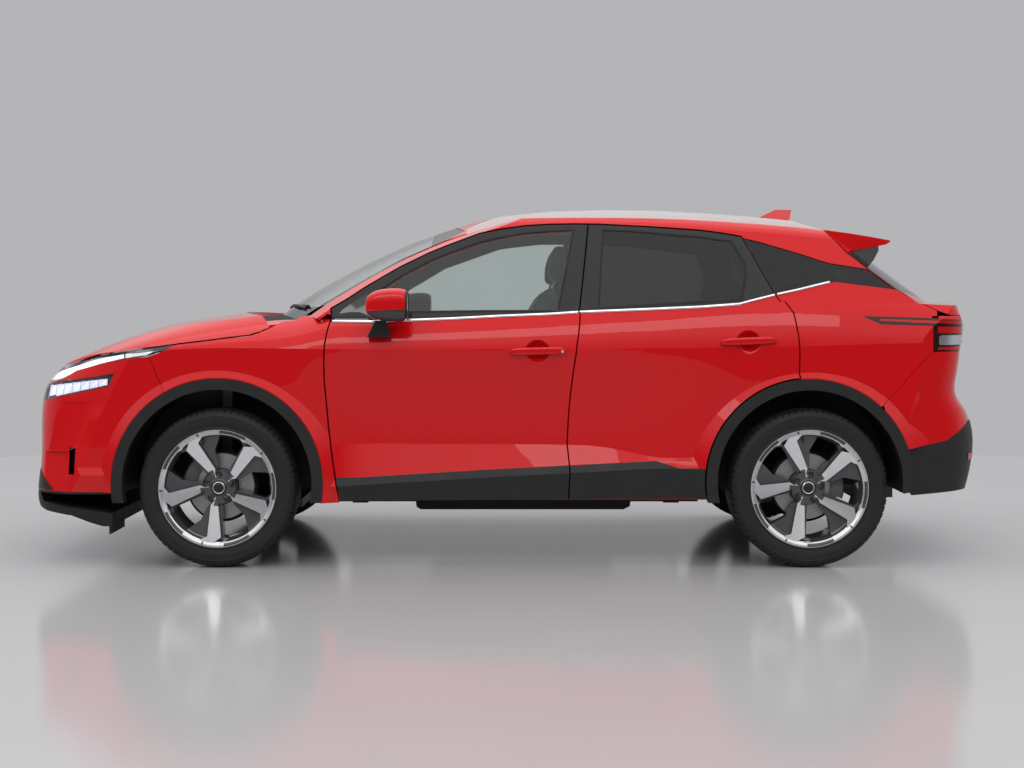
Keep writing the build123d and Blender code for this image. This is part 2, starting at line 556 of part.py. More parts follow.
bonnet_zone = prism(shifted(BONNET_EDGE, 0, SHUT_GAP)
                    + [(BONNET_EDGE[-1][0] + 8, ROOF_Z), (NOSE_X - 100, ROOF_Z)])
bonnet = largest((LOWER_SHELL & bonnet_zone) - behind_arc(SHUT_GAP))
add("bonnet", bonnet)
cowl_side = placed(FRONT_AXLE_X, BELT_Z, [(-82, -99), (-82, 161), (478, 161), (478, -99)])
cowl = (LOWER_IN - LOWER_DEEP) & behind_arc(0)
cowl = cowl & prism(cowl_side, -FRAME_OUTER_Y + 34, FRAME_OUTER_Y - 34)
tray = block(FRONT_AXLE_X - 20, FRONT_AXLE_X + 358, -FRAME_INNER_Y, FRAME_INNER_Y, BELT_Z - 79,
             BELT_Z - 27) & LOWER_DEEP
firewall = block(FRONT_AXLE_X + 333, FRONT_AXLE_X + 358, -FRAME_INNER_Y, FRAME_INNER_Y,
                 FLOOR_Z + 30, BELT_Z - 70) & LOWER_DEEP
cowl = cowl.fuse(tray) - (GLASS_OUT & block(-FAR, FAR, -FAR, FAR, BELT_Z - 53, ROOF_Z))
cowl = cowl.fuse(firewall)
for side in (-1, 1):
    cowl = cowl - arch_hole(FRONT_ARCH, WELL_RADIUS + LINER + SEAM, side * FAR,
                            side * (WELL_INNER_Y - 4))
    cowl = cowl - block(FRONT_AXLE_X + 358 - SEAM, FAR, side * (FRAME_INNER_Y - SEAM), side * FAR,
                        0, FAR)
cowl = largest(cowl)
add("cowl", cowl)

# ---------------------------------------------------------------- nose
NOSE_BACK = FRONT_AXLE_X - 234
front_zone = left_prism([(NOSE_X - 100, SILL_Z + 48), (NOSE_X - 100, SHOULDER_Z - 92)]
                        + BONNET_EDGE[1:7] + placed(NOSE_X, SHOULDER_Z, [(651, -9)])
                        + shifted(BUMPER_SHUT, -SEAM)
                        + [(NOSE_BACK, 500), (NOSE_BACK - 150, SILL_Z + 48)])
grille_outline = [(-540, 470), (-600, 600), (-500, 800), (-400, 868), (400, 868), (500, 800),
                  (600, 600), (540, 470)]
GRILLE_ZONE = front_prism(grille_outline, NOSE_X - 100, NOSE_X + 300)
grille_edge = front_prism(grown(grille_outline, -SEAM), NOSE_X - 100, NOSE_X + 300)


def corner_facets():
    """Bumper corner: the upper panel draws in downwards, the lower one upwards below a ledge."""
    cutters = []
    for rows in (((742, 343, 89), (524, 261, 76)), ((518, 261, 89), (SILL_Z + 48, 204, 29))):
        wires = []
        for z, rear_x, front_x in rows:
            rear, front = NOSE_X + rear_x, NOSE_X + front_x
            wires.append(Wire.make_polygon([Vector(rear, -870, z), Vector(front, -770, z),
                                            Vector(front - 400, -770, z),
                                            Vector(front - 400, -1270, z), Vector(rear, -1270, z)]))
        cutters.append(Solid.make_loft(wires, True))
    return cutters


nose = LEFT_SKIN & front_zone
for cutter in corner_facets():
    nose = nose - cutter
slit = block(NOSE_X + 214, NOSE_X + 245, -FAR, -HALF_WIDTH + 100, 418, 538)
nose = nose - slit - arch_hole(FRONT_ARCH, FRONT_ARCH_RADIUS, -FAR, 0)
for outline in (UPPER_LAMP, LOWER_LAMP):
    nose = nose - prism(outline, -FAR, -430)
nose = nose - GRILLE_ZONE - BONNET_ZONE
nose = nose.fuse(mirrored(nose))
tow_x, tow_y, tow_z = NOSE_X + 60, 430, 395
tow_boss = block(tow_x - 35, tow_x + TOW_THREAD_LENGTH, tow_y - 24, tow_y + 24, tow_z - 24, tow_z + 24)
tow_plane = Plane(origin=(NOSE_X - 50, tow_y, tow_z), x_dir=(0, 1, 0), z_dir=(1, 0, 0))
tow_hole = Solid.make_cylinder(TOW_THREAD_RADIUS, 50 + 60 + TOW_THREAD_LENGTH, tow_plane)
nose = (nose.fuse(tow_boss & LOWER)) - tow_hole
add("bumper_front", largest(nose))
grille = ((lower_body(10) - LOWER_IN) & grille_edge) - BONNET_ZONE
add("grille", largest(grille))
lamps = []
for outline in (UPPER_LAMP, LOWER_LAMP):
    lamp = LOWER_SHELL & prism(outline, -FAR, -430 - SEAM)
    lamps.append(largest(lamp - GRILLE_ZONE - BONNET_ZONE))
add("headlamps", *lamps, *[mirrored(lamp) for lamp in lamps])
chin_outline = placed(NOSE_X, 0, [
    (-100, SILL_Z + 48), (-100, SILL_Z + 8), (39, 267), (100, 248), (228, 234), (312, 201),
    (372, GROUND_CLEARANCE), (412, GROUND_CLEARANCE), (422, SILL_Z + 48)])
chin_hollow = placed(NOSE_X, 0, [(62, 330), (82, 290), (432, 240), (712, 240), (712, 330)])
chin = (LOWER & prism(chin_outline)) - prism(chin_hollow)
for side in (-1, 1):
    chin = chin - arch_hole(FRONT_ARCH, FRONT_ARCH_RADIUS + SEAM, side * FAR, 0)
chin = largest(chin)
for side in (-1, 1):
    chin = chin.fuse(block(NOSE_X + 396, NOSE_X + 404, side * 600, side * 850, 146, 186))
add("cladding_front", largest(chin))

# ---------------------------------------------------------------- tailgate
tail_low = [(-640, BELT_Z + 11), (-640, 1000), (-560, 790)]
tail_low += [(-y, z) for y, z in tail_low[::-1]]
tail_gap = [(-640 - SHUT_GAP, BELT_Z + 11), (-640 - SHUT_GAP, 1000), (-560 - SHUT_GAP, 790 - SHUT_GAP)]
tail_gap += [(-y, z) for y, z in tail_gap[::-1]]
LOW_TAIL = front_prism(tail_low, REAR_AXLE_X + 552, TAIL_X + 100)
TAIL_CLEAR = front_prism(tail_gap, REAR_AXLE_X + 452, TAIL_X + 100)
UPPER_TAIL = prism(TAILGATE_EDGE + [(TAIL_X + 100, BELT_Z - 6), (TAIL_X + 100, BELT_Z + 561)])
HATCH_ZONE = UPPER_TAIL.fuse(LOW_TAIL)
hatch = (OUTER & HATCH_ZONE) - lower_body(HATCH_PANEL) - greenhouse(HATCH_PANEL)
hatch = largest(hatch)
spoiler_side = placed(REAR_AXLE_X, BELT_Z, [
    (152, 331), (218, 292), (423, 331), (443, 343), (450, 461), (125, 461), (125, 402)])
spoiler = roof_form() & prism(spoiler_side, -565, 565)
back_hole = front_prism([(-560, BELT_Z + 86), (-480, BELT_Z + 286), (480, BELT_Z + 286),
                         (560, BELT_Z + 86)], REAR_AXLE_X + 152, TAIL_X + 100)
black_zone = prism(REAR_BLACK)
hatch = hatch - (black_zone - GLASS_SEAT) - back_hole
hatch = hatch.fuse(spoiler)
plate_pocket = block(TAIL_X - 108, TAIL_X, -PLATE_WIDTH / 2, PLATE_WIDTH / 2, 930 - PLATE_HEIGHT / 2,
                     930 + PLATE_HEIGHT / 2)
inner_lamp = front_prism([(-640, 1108), (-640, 1010), (-520, 1040), (-380, 1078), (-380, 1100)],
                         REAR_AXLE_X + 552, TAIL_X + 100)
lamp_pocket = inner_lamp.fuse(mirrored(inner_lamp)) - LOWER_IN
hatch = largest(hatch - plate_pocket - lamp_pocket)
add("tailgate", hatch)
inner_lamp = LOWER_SHELL & inner_lamp & HATCH_ZONE
add("tailgate_lamps", *both(largest(inner_lamp)))
back_glass = GLASS_SHELL & black_zone & UPPER_TAIL
back_glass = back_glass - spoiler - LOWER
add("tailgate_glass", largest(back_glass))

# ---------------------------------------------------------------- tail
bumper_side = shifted(REAR_SHUT, SEAM)[::-1] + placed(REAR_AXLE_X, SHOULDER_Z, [(1000, -14)])
bumper_side += REAR_SKIRT_TOP[::-1]
rear_bumper = (LEFT_SKIN & prism(bumper_side, -FAR, 0)) - TAIL_CLEAR
rear_bumper = rear_bumper - arch_hole(REAR_ARCH, REAR_ARCH_RADIUS, -FAR, 0)
add("bumper_rear", largest(rear_bumper.fuse(mirrored(rear_bumper))))
tail_lamp = LOWER_SHELL & prism(TAIL_LAMP, -FAR, 0)
add("tail_lamps", *both(largest(tail_lamp - TAIL_CLEAR - UPPER_TAIL)))
skirt_side = REAR_SKIRT_TOP + placed(REAR_AXLE_X, 0, [(1000, 330), (715, 336), (443, 325),
                                                      (380, 325)])
skirt = LOWER_SHELL & prism(skirt_side)
for side in (-1, 1):
    skirt = skirt - arch_hole(REAR_ARCH, REAR_ARCH_RADIUS + SEAM, side * FAR, 0)
add("cladding_rear", largest(skirt))

# ---------------------------------------------------------------- roof, screen, rails
roof = (GREEN - GREEN_IN) & block(-FAR, TAILGATE_EDGE[1][0] - SHUT_GAP, -560 + SEAM / 2,
                                  560 - SEAM / 2, BELT_Z, ROOF_Z + 86)
roof = largest(roof - prism(WINDSCREEN_EDGE))
fin_side = placed(REAR_AXLE_X, ROOF_Z, [(-198, -60), (-81, 19), (-31, 44), (-5, 55), (77, 55),
                                        (65, 0), (58, -66)])
fin = prism(fin_side, -40, 40) & front_prism([(-32, ROOF_Z - 80), (-6, ROOF_Z + 55),
                                              (6, ROOF_Z + 55), (32, ROOF_Z - 80)], 0, FAR)
add("roof_panel", largest(roof.fuse(fin - GREEN_IN)))
add("windscreen", largest(GLASS_SHELL & prism(WINDSCREEN_EDGE)))
rail_top = placed(FRONT_AXLE_X, ROOF_Z, [(1112, -73), (1174, -45), (1268, -14), (1504, 10),
                                         (1740, 17)])
rail_top += placed(REAR_AXLE_X, ROOF_Z, [(-688, 15), (-452, 3), (-217, -14), (-28, -33),
                                         (104, -70)])
rail = prism(rail_top + [(rail_top[-1][0], ROOF_Z - 114), (rail_top[0][0], ROOF_Z - 114)],
             -578, -550)
add("roof_rails", *both(largest(rail - OUTER)))

# ---------------------------------------------------------------- arch cladding and wheel wells
linings = []
for arch, radius in ARCHES:
    x, z = arch
    band = arch_hole(arch, radius, -HALF_WIDTH, -HALF_WIDTH + 60)
    band = band - arch_hole(arch, radius - ARCH_BAND, -FAR, 0)
    foot = SILL_Z + 48 if x > 0 else SILL_Z + 3
    band = band & block(x - 600, x + 600, -FAR, 0, SILL_Z + 3, FAR)
    band = band - block(x + 300, x + 600, -FAR, 0, 0, foot)
    liner = arch_hole(arch, WELL_RADIUS + LINER, -HALF_WIDTH + 60, -WELL_INNER_Y)
    liner = liner - arch_hole(arch, WELL_RADIUS, -FAR, -WELL_INNER_Y - LINER)
    liner = liner & block(x - 600, x + 600, -FAR, 0, SILL_Z + 38, FAR)
    axle_way = block(x - 80, x + 80, -FAR, 0, 200, HUB_Z + 122)
    linings += both(largest(band.fuse(liner) - axle_way))
add("arch_linings", *linings)

# ---------------------------------------------------------------- floor, drive line, axles
floor_end = REAR_AXLE_X - 368
floor = block(FRONT_AXLE_X + 358, floor_end, -FRAME_INNER_Y, FRAME_INNER_Y, FLOOR_Z, FLOOR_Z + 25)
floor = floor.fuse(
    block(floor_end - 25, floor_end, -FRAME_INNER_Y, FRAME_INNER_Y, FLOOR_Z, BOOT_Z),
    block(floor_end - 25, REAR_AXLE_X + 732, -FRAME_INNER_Y, FRAME_INNER_Y, BOOT_Z - 25, BOOT_Z),
    block(REAR_AXLE_X + 707, REAR_AXLE_X + 732, -FRAME_INNER_Y, FRAME_INNER_Y, BOOT_Z - 25, 772),
)
JACK_X = (FRONT_AXLE_X + 630, REAR_AXLE_X - 610)
for side in (-1, 1):
    sill = block(FRONT_AXLE_X + 498, REAR_AXLE_X - 488, side * FRAME_INNER_Y, side * FRAME_OUTER_Y,
                 SILL_Z - 8, FLOOR_Z + 25)
    sill = sill - block(-FAR, FAR, side * FRAME_INNER_Y, side * FAR, SILL_Z, FAR)
    floor = floor.fuse(sill)
    floor = floor.fuse(block(FRONT_AXLE_X + 498, REAR_AXLE_X - 488, side * 660,
                             side * FRAME_INNER_Y, SILL_Z - 8, FLOOR_Z))
    for x in JACK_X:
        floor = floor.fuse(block(x - 35, x + 35, side * 715, side * 765, JACK_FACE_Z, SILL_Z - 4))
    for arch, radius in ARCHES:
        well = arch_hole(arch, WELL_RADIUS + LINER + SEAM, side * FAR, side * (WELL_INNER_Y - 4))
        floor = floor - well
add("floor_pan", largest(floor & LOWER_IN.fuse(block(-FAR, FAR, -800, 800, 200, 500))))
engine = block(FRONT_AXLE_X - 402, FRONT_AXLE_X + 138, -330, 330, 330, 900)
subframe = block(FRONT_AXLE_X - 102, FRONT_AXLE_X + 318, -420, 420, 215, 255)
for side in (-1, 1):
    arm = block(FRONT_AXLE_X - 32, FRONT_AXLE_X + 32, side * 400, side * 636, 225, 250)
    mount = block(FRONT_AXLE_X - 12, FRONT_AXLE_X + 12, side * 300, side * 420, 250, 326)
    subframe = subframe.fuse(arm, mount)
beam = block(REAR_AXLE_X - 40, REAR_AXLE_X + 40, -640, 640, 290, 350)
for side in (-1, 1):
    carrier = block(REAR_AXLE_X - 60, REAR_AXLE_X + 60, side * 600, side * 690, 270, 450)
    stub = cylinder_y(REAR_AXLE_X, HUB_Z, STUB_RADIUS, side * 690, side * 775)
    beam = beam.fuse(carrier, stub)
add("engine_and_axles", engine, subframe, beam)
cover = prism(placed(FRONT_AXLE_X, 0, [(868, FLOOR_Z), (878, 238), (898, 226), (1848, 226),
                                       (1878, 240), (1888, FLOOR_Z)]), -600, 600)
add("underbody", cover - block(-FAR, FAR, -200, 200, 0, 240))

# ---------------------------------------------------------------- cabin
dash = prism(placed(FRONT_AXLE_X, BELT_Z, [
    (362, -439), (362, -64), (418, -34), (678, -54), (718, -139), (678, -289), (558, -499)]),
    -FRAME_INNER_Y + 4, FRAME_INNER_Y - 4)
console = block(FRONT_AXLE_X + 558, FRONT_AXLE_X + 1438, -95, 95, FLOOR_Z + 25.5, 620)
dash = dash - cowl - cowl.moved(Location((0, 0, -SEAM)))
add("dashboard", largest(dash.fuse(console)))
SEAT_X = FRONT_AXLE_X + 1068
SEAT_Y = -370
base = prism(placed(SEAT_X, FLOOR_Z, [(-265, 60), (-285, 230), (-260, 325), (180, 290),
                                      (235, 110), (150, 60)]), SEAT_Y - 255, SEAT_Y + 255)
rest = prism(placed(SEAT_X, FLOOR_Z, [(130, 200), (115, 300), (395, 975), (475, 975), (275, 200)]),
             SEAT_Y - 240, SEAT_Y + 240)
head = prism(placed(SEAT_X, FLOOR_Z, [(420, 970), (430, 1150), (450, 1175), (515, 1170),
                                      (530, 1030), (470, 970)]), SEAT_Y - 130, SEAT_Y + 130)
front_seat = base.fuse(rest, head)
bench = prism(placed(REAR_AXLE_X, FLOOR_Z, [(-828, 30), (-848, 245), (-448, 225), (-448, 30)]),
              -640, 640)
bench_back = prism(placed(REAR_AXLE_X, FLOOR_Z, [(-488, 225), (-238, 880), (-148, 880),
                                                 (-388, 268)]), -450, 450)
heads = [prism(placed(REAR_AXLE_X, FLOOR_Z, [(-228, 876), (-206, 1010), (-126, 1010), (-140, 876)]),
               y - 120, y + 120) for y in (-300, 300)]
add("seats", *both(front_seat), largest(bench.fuse(bench_back, *heads)))
HELM = (FRONT_AXLE_X + 838, SEAT_Y, 960)
helm = Solid.make_torus(180, 15).fuse(
    Solid.make_box(340, 30, 14).moved(Location((-170, -15, -7))),
    Solid.make_cylinder(55, 30).moved(Location((0, 0, -20))))
add("steering_wheel", helm.moved(Location(HELM, (0, 64, 0))))


# ---------------------------------------------------------------- knuckles and wheels
def turned(points, x, side):
    """Solid turned about the wheel axis; points are (outward y from the wheel plane, radius)."""
    wire = Wire.make_polygon([Vector(x, side * (WHEEL_Y + y), HUB_Z + radius)
                              for y, radius in points])
    return Solid.revolve(Face(wire), 360, Axis((x, 0, HUB_Z), (0, 1, 0)))


BEAD_RADIUS = RIM_RADIUS - 14
WALL_RADIUS = (BEAD_RADIUS + TYRE_RADIUS) / 2
BEAD_Y = TYRE_WIDTH / 2 - 14
WALL_SLOPE = 14 / (WALL_RADIUS - BEAD_RADIUS)
HUB_FACE_Y = 78.0
BLADE_OUT_Y = 104.0
BLADE_IN_Y = 68.0
ARM_RADIUS = BEAD_RADIUS - 3
# Blade and foot outlines: across and out from the hub, as seen from outside with the blade down.
BLADE = [(-6, 47), (-34, 79), (-40, 218), (-97, 244), (-40, 259), (-32, 260), (22, 221)]
BLADE_FOOT = [(-20, 260), (40, 234), (92, 242), (60, 254), (20, 261)]
BLADE_WEB = [(12, 60), (30, 218), (70, 236), (90, 246), (0, 258), (-97, 243), (-152, 205),
             (-78, 150), (-52, 90), (-22, 60)]


def rim(x, side, turn):
    """Wheel with five blades; turn is the first blade's angle from straight down."""
    half = TYRE_WIDTH / 2
    barrel = turned([(-half + 8, BEAD_RADIUS), (-half + 7, RIM_RADIUS), (-half + 1, RIM_RADIUS),
                     (-half + 1, 240), (60, 230), (100, 241), (half - 5, 256),
                     (half - 5, RIM_RADIUS), (BEAD_Y + 14 * WALL_SLOPE, RIM_RADIUS),
                     (BEAD_Y, BEAD_RADIUS)], x, side)
    bore = STUB_RADIUS + STUB_CLEARANCE
    hub = turned([(-10, bore), (-10, 78), (44, 82), (HUB_FACE_Y - 14, 74), (HUB_FACE_Y - 8, 40),
                  (HUB_FACE_Y, 28), (HUB_FACE_Y, 0), (50, 0), (50, bore)], x, side)
    dish = turned([(30, 0), (BLADE_IN_Y, 0), (BLADE_IN_Y, 60), (BLADE_OUT_Y, 244),
                   (BLADE_OUT_Y, ARM_RADIUS), (30, ARM_RADIUS)], x, side)
    web_dish = turned([(24, 0), (BLADE_IN_Y - 16, 0), (BLADE_IN_Y - 16, 80),
                       (BLADE_OUT_Y - 26, 230), (BLADE_OUT_Y - 17, ARM_RADIUS),
                       (24, ARM_RADIUS)], x, side)
    wheel = barrel.fuse(hub)
    for outline, form in ((BLADE_WEB, web_dish), (BLADE, dish), (BLADE_FOOT, dish)):
        arm = prism([(x + across, HUB_Z - out) for across, out in outline],
                    side * (WHEEL_Y + 24), side * (WHEEL_Y + 110)) & form
        for step in range(5):
            wheel = wheel.fuse(arm.rotate(Axis((x, 0, HUB_Z), (0, 1, 0)), turn + 72 * step))
    return largest(wheel)


def tyre(x, side):
    half = TYRE_WIDTH / 2
    return turned([(-half + 8, BEAD_RADIUS), (-half + 16, TYRE_RADIUS), (half - 20, TYRE_RADIUS),
                   (half, WALL_RADIUS), (BEAD_Y, BEAD_RADIUS)], x, side)


def knuckle(side):
    x = FRONT_AXLE_X
    upright = block(x - 40, x + 40, side * 640, side * 690, 270, 450)
    pin = Solid.make_cylinder(18, 240, Plane(origin=(x, side * KINGPIN_Y, 240)))
    stub = cylinder_y(x, HUB_Z, STUB_RADIUS, side * 690, side * 775)
    strut = block(x - 22, x + 22, side * 600, side * 650, 440, 790)
    return upright.fuse(pin, stub, strut)


front_rim = rim(FRONT_AXLE_X, -1, 2)
rear_rim = front_rim.rotate(Axis((FRONT_AXLE_X, 0, HUB_Z), (0, 1, 0)), 9)
rear_rim = rear_rim.moved(Location((REAR_AXLE_X - FRONT_AXLE_X, 0, 0)))
for end, x, left_rim in (("front", FRONT_AXLE_X, front_rim), ("rear", REAR_AXLE_X, rear_rim)):
    left_tyre = tyre(x, -1)
    add(f"rim_{end}_left", left_rim)
    add(f"rim_{end}_right", mirrored(left_rim))
    add(f"tyre_{end}_left", left_tyre)
    add(f"tyre_{end}_right", mirrored(left_tyre))
add("knuckle_left", knuckle(-1))
add("knuckle_right", knuckle(1))

# ---------------------------------------------------------------- mirrors on the front doors
MIRROR_X = FRONT_AXLE_X + 850
MIRROR_Y = -HALF_WIDTH - 43


def mirror_section(x, half_y, half_z, z):
    ring_points = [(1, 0.1), (0.82, 0.8), (0, 1), (-0.85, 0.75), (-1, 0), (-0.8, -0.85), (0, -1),
                   (0.85, -0.8)]
    return Wire([Edge.make_spline([Vector(MIRROR_X + x, MIRROR_Y + half_y * a, BELT_Z + z + half_z * b)
                                   for a, b in ring_points], periodic=True)])


shell = Solid.make_loft([mirror_section(*row) for row in (
    (-174, 40, 20, 44), (-160, 62, 46, 45), (-120, 74, 66, 46), (-62, 78, 74, 46),
    (-12, 76, 73, 45), (3, 72, 68, 44))])
cap_edge = placed(MIRROR_X, BELT_Z, [(-200, 12), (-100, 16), (60, 26), (60, 200), (-200, 200)])
cap_zone = prism(cap_edge, -FAR, 0)
foot = prism(placed(MIRROR_X, BELT_Z, [(-135, -24), (-90, -24), (-68, -98), (-172, -98)]),
             MIRROR_Y + 20, MIRROR_Y + 110) - OUTER
add("mirror_cap_left", largest(shell & cap_zone))
add("mirror_left", largest((shell - cap_zone).fuse(foot)))

for name in list(parts):
    if name.endswith("_left") and name.startswith(("door", "glass", "trim", "mirror")):
        parts[name.replace("_left", "_right")] = [mirrored(solid) for solid in parts[name]]

os.makedirs("parts", exist_ok=True)
for name, solids in parts.items():
    export_step(solids[0] if len(solids) == 1 else Compound(solids), f"parts/{name}.step")
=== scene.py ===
import functools
import json
import math
import bmesh
import bpy
from mathutils import Matrix, Vector
from mathutils.bvhtree import BVHTree


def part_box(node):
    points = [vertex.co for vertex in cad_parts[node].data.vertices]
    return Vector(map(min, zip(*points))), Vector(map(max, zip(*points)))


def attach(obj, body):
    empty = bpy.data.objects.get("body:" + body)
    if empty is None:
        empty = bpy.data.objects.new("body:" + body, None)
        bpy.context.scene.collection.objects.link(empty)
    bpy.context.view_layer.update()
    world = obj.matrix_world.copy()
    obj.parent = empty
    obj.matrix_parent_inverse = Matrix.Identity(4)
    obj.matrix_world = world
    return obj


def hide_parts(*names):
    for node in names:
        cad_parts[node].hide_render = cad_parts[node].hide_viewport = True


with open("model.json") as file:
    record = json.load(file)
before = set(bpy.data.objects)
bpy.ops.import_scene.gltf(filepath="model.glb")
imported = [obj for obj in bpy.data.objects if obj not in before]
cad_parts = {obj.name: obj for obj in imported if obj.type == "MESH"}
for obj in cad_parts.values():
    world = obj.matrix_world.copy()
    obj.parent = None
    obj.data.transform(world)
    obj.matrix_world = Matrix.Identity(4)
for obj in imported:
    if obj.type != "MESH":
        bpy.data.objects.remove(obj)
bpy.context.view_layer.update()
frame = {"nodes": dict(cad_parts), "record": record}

# Metres, as the frame is: nose towards -X, left side towards -Y.
FRONT_X, REAR_X = -1.3175, 1.3475
WHEEL_Y, HUB_Z = 0.790, 0.358
NOSE_X = -2.2125
TYRE_R = 0.358
SEAT_Y = 0.37
SIDES = (("left", -1), ("right", 1))


# ------------------------------------------------------------------ materials
SOCKETS = {
    "colour": "Base Color", "rough": "Roughness", "metal": "Metallic", "coat": "Coat Weight",
    "coat_rough": "Coat Roughness", "ior": "IOR", "clear": "Transmission Weight",
    "sheen": "Sheen Weight", "glow": "Emission Color", "glow_strength": "Emission Strength",
    "specular": "Specular IOR Level", "normal": "Normal", "coat_ior": "Coat IOR",
}


def shade(colour, factor):
    return tuple(c * factor for c in colour)


class Nodes:
    """A node tree with the place's X, Y and Z; values are sockets or constants."""

    def __init__(self, tree, space):
        self.tree = tree
        self.where = self.node("TexCoord").outputs[space]
        self.x, self.y, self.z = self.node("SeparateXYZ", {0: self.where}).outputs

    def put(self, socket, value):
        if isinstance(value, bpy.types.NodeSocket):
            self.tree.links.new(value, socket)
        elif socket.type == "RGBA" and len(value) == 3:
            socket.default_value = (*value, 1)
        else:
            socket.default_value = value

    def node(self, kind, inputs=None, **props):
        node = self.tree.nodes.new("ShaderNode" + kind)
        for key, value in props.items():
            setattr(node, key, value)
        for key, value in (inputs or {}).items():
            self.put(node.inputs[key], value)
        return node

    def math(self, operation, a, b=0.0):
        return self.node("Math", {0: a, 1: b}, operation=operation).outputs[0]

    def times(self, *values):
        return functools.reduce(lambda a, b: self.math("MULTIPLY", a, b), values)

    def most(self, *values):
        return functools.reduce(lambda a, b: self.math("MAXIMUM", a, b), values)

    def less(self, a, b):
        return self.math("SUBTRACT", a, b)

    def remap(self, value, low, high, a=0.0, b=1.0):
        inputs = {"Value": value, "From Min": low, "From Max": high, "To Min": a, "To Max": b}
        return self.node("MapRange", inputs).outputs[0]

    def mix(self, factor, a, b):
        return self.node("Mix", {0: factor, 6: a, 7: b}, data_type="RGBA").outputs[2]

    def blend(self, factor, a, b):
        return self.node("Mix", {0: factor, 2: a, 3: b}, data_type="FLOAT").outputs[0]


class Shader(Nodes):
    """One procedural material round a Principled shader."""

    def __init__(self, name, **values):
        self.mat = bpy.data.materials.new(name)
        self.mat.use_nodes = True
        super().__init__(self.mat.node_tree, "Object")
        self.set(**values)

    def set(self, **values):
        for key, value in values.items():
            self.put(self.tree.nodes["Principled BSDF"].inputs[SOCKETS[key]], value)
        return self

    def wide(self):
        """Distance from the car's middle plane."""
        return self.math("ABSOLUTE", self.y)

    def noise(self, scale, detail=2.0):
        return self.node("TexNoise", {"Vector": self.where, "Scale": scale, "Detail": detail}).outputs[0]

    def cells(self, scale):
        return self.node("TexVoronoi", {"Vector": self.where, "Scale": scale}).outputs[0]

    def weave(self, scale):
        """Crossing threads, from -1 to 1."""
        return self.times(*(self.math("SINE", self.times(axis, scale)) for axis in (self.x, self.y, self.z)))

    def tone(self, factor, colour, darker, lighter):
        """Between a darker and a lighter shade of one colour."""
        return self.mix(factor, shade(colour, darker), shade(colour, lighter))

    def bump(self, height, distance, strength=1.0):
        inputs = {"Height": height, "Distance": distance, "Strength": strength}
        return self.node("Bump", inputs).outputs[0]


def inner_faces(sh):
    """1 on faces that look into the cabin: inside of doors, sides and tailgate, under the roof."""
    nx, ny, nz = sh.node("SeparateXYZ", {0: sh.node("TexCoord").outputs["Normal"]}).outputs
    sides = sh.remap(sh.times(sh.y, ny), -0.10, -0.20)
    behind = sh.times(sh.remap(sh.x, 1.42, 1.43), sh.remap(nx, -0.25, -0.35), sh.remap(sh.z, 1.44, 1.43))
    roof = sh.times(sh.remap(nz, -0.30, -0.40), sh.remap(sh.z, 1.30, 1.31), sh.remap(sh.x, 1.40, 1.39))
    return sh.times(sh.remap(sh.x, -0.93, -0.92), sh.most(sides, behind, roof))


def paint():
    """Red lacquer outside, dark lining on the faces that look into the cabin."""
    sh = Shader("red_paint", coat_rough=0.015, coat_ior=1.36, specular=0.05)
    inner = inner_faces(sh)
    base = sh.mix(sh.remap(sh.cells(1500), 0.15, 0.75), (0.66, 0.0030, 0.0065), (0.58, 0.0022, 0.0050))
    dust = sh.times(sh.remap(sh.z, 0.55, 0.25), sh.noise(22, 5))
    base = sh.mix(sh.times(dust, 0.05), base, (0.28, 0.14, 0.12))
    lining = sh.mix(sh.noise(14, 5), (0.016, 0.016, 0.017), (0.026, 0.026, 0.027))
    sh.set(colour=sh.mix(inner, base, lining), coat=sh.less(1.0, inner))
    sh.set(rough=sh.blend(inner, sh.remap(dust, 0.0, 0.8, 0.32, 0.46), 0.7))
    return sh.set(normal=sh.bump(sh.blend(inner, sh.noise(60, 1), sh.cells(900)), 0.00012, 0.3)).mat


def plastic_parts(sh, colour, rough, spread=0.17):
    """Colour, roughness and bump of grained plastic."""
    grain, scuff = sh.cells(900), sh.noise(14, 5)
    tone = sh.tone(sh.remap(scuff, 0.35, 0.7), colour, 1 - spread, 1 + spread)
    return tone, sh.remap(scuff, 0.3, 0.75, rough - 0.06, rough + 0.08), grain


def plastic(name, colour, rough, depth=0.00025, spread=0.17):
    sh = Shader(name, specular=0.4)
    tone, gloss, grain = plastic_parts(sh, colour, rough, spread)
    return sh.set(colour=tone, rough=gloss, normal=sh.bump(grain, depth, 0.6)).mat


def cowl_paint():
    """Grained black between the bonnet and the glass, red at the cowl's outer ends."""
    sh = Shader("cowl_cover", specular=0.3)
    tone, gloss, grain = plastic_parts(sh, (0.0085, 0.0085, 0.009), 0.75)
    outer = sh.remap(sh.wide(), 0.655, 0.660)
    sh.set(colour=sh.mix(outer, tone, (0.62, 0.0026, 0.0058)), rough=sh.blend(outer, gloss, 0.36))
    return sh.set(coat=outer, normal=sh.bump(grain, 0.0002, 0.4)).mat


def trim():
    """Door trims: grained below, polished black window frame above."""
    sh = Shader("door_trim", specular=0.45)
    tone, gloss, grain = plastic_parts(sh, CLADDING, 0.56)
    upper = sh.remap(sh.z, 0.90, 0.905)
    black = sh.mix(sh.noise(30, 2), (0.0085, 0.0088, 0.0095), (0.0125, 0.0128, 0.0135))
    sh.set(colour=sh.mix(upper, tone, black), rough=sh.blend(upper, gloss, 0.14))
    return sh.set(normal=sh.bump(sh.blend(upper, grain, 0.5), 0.00025, 0.6)).mat


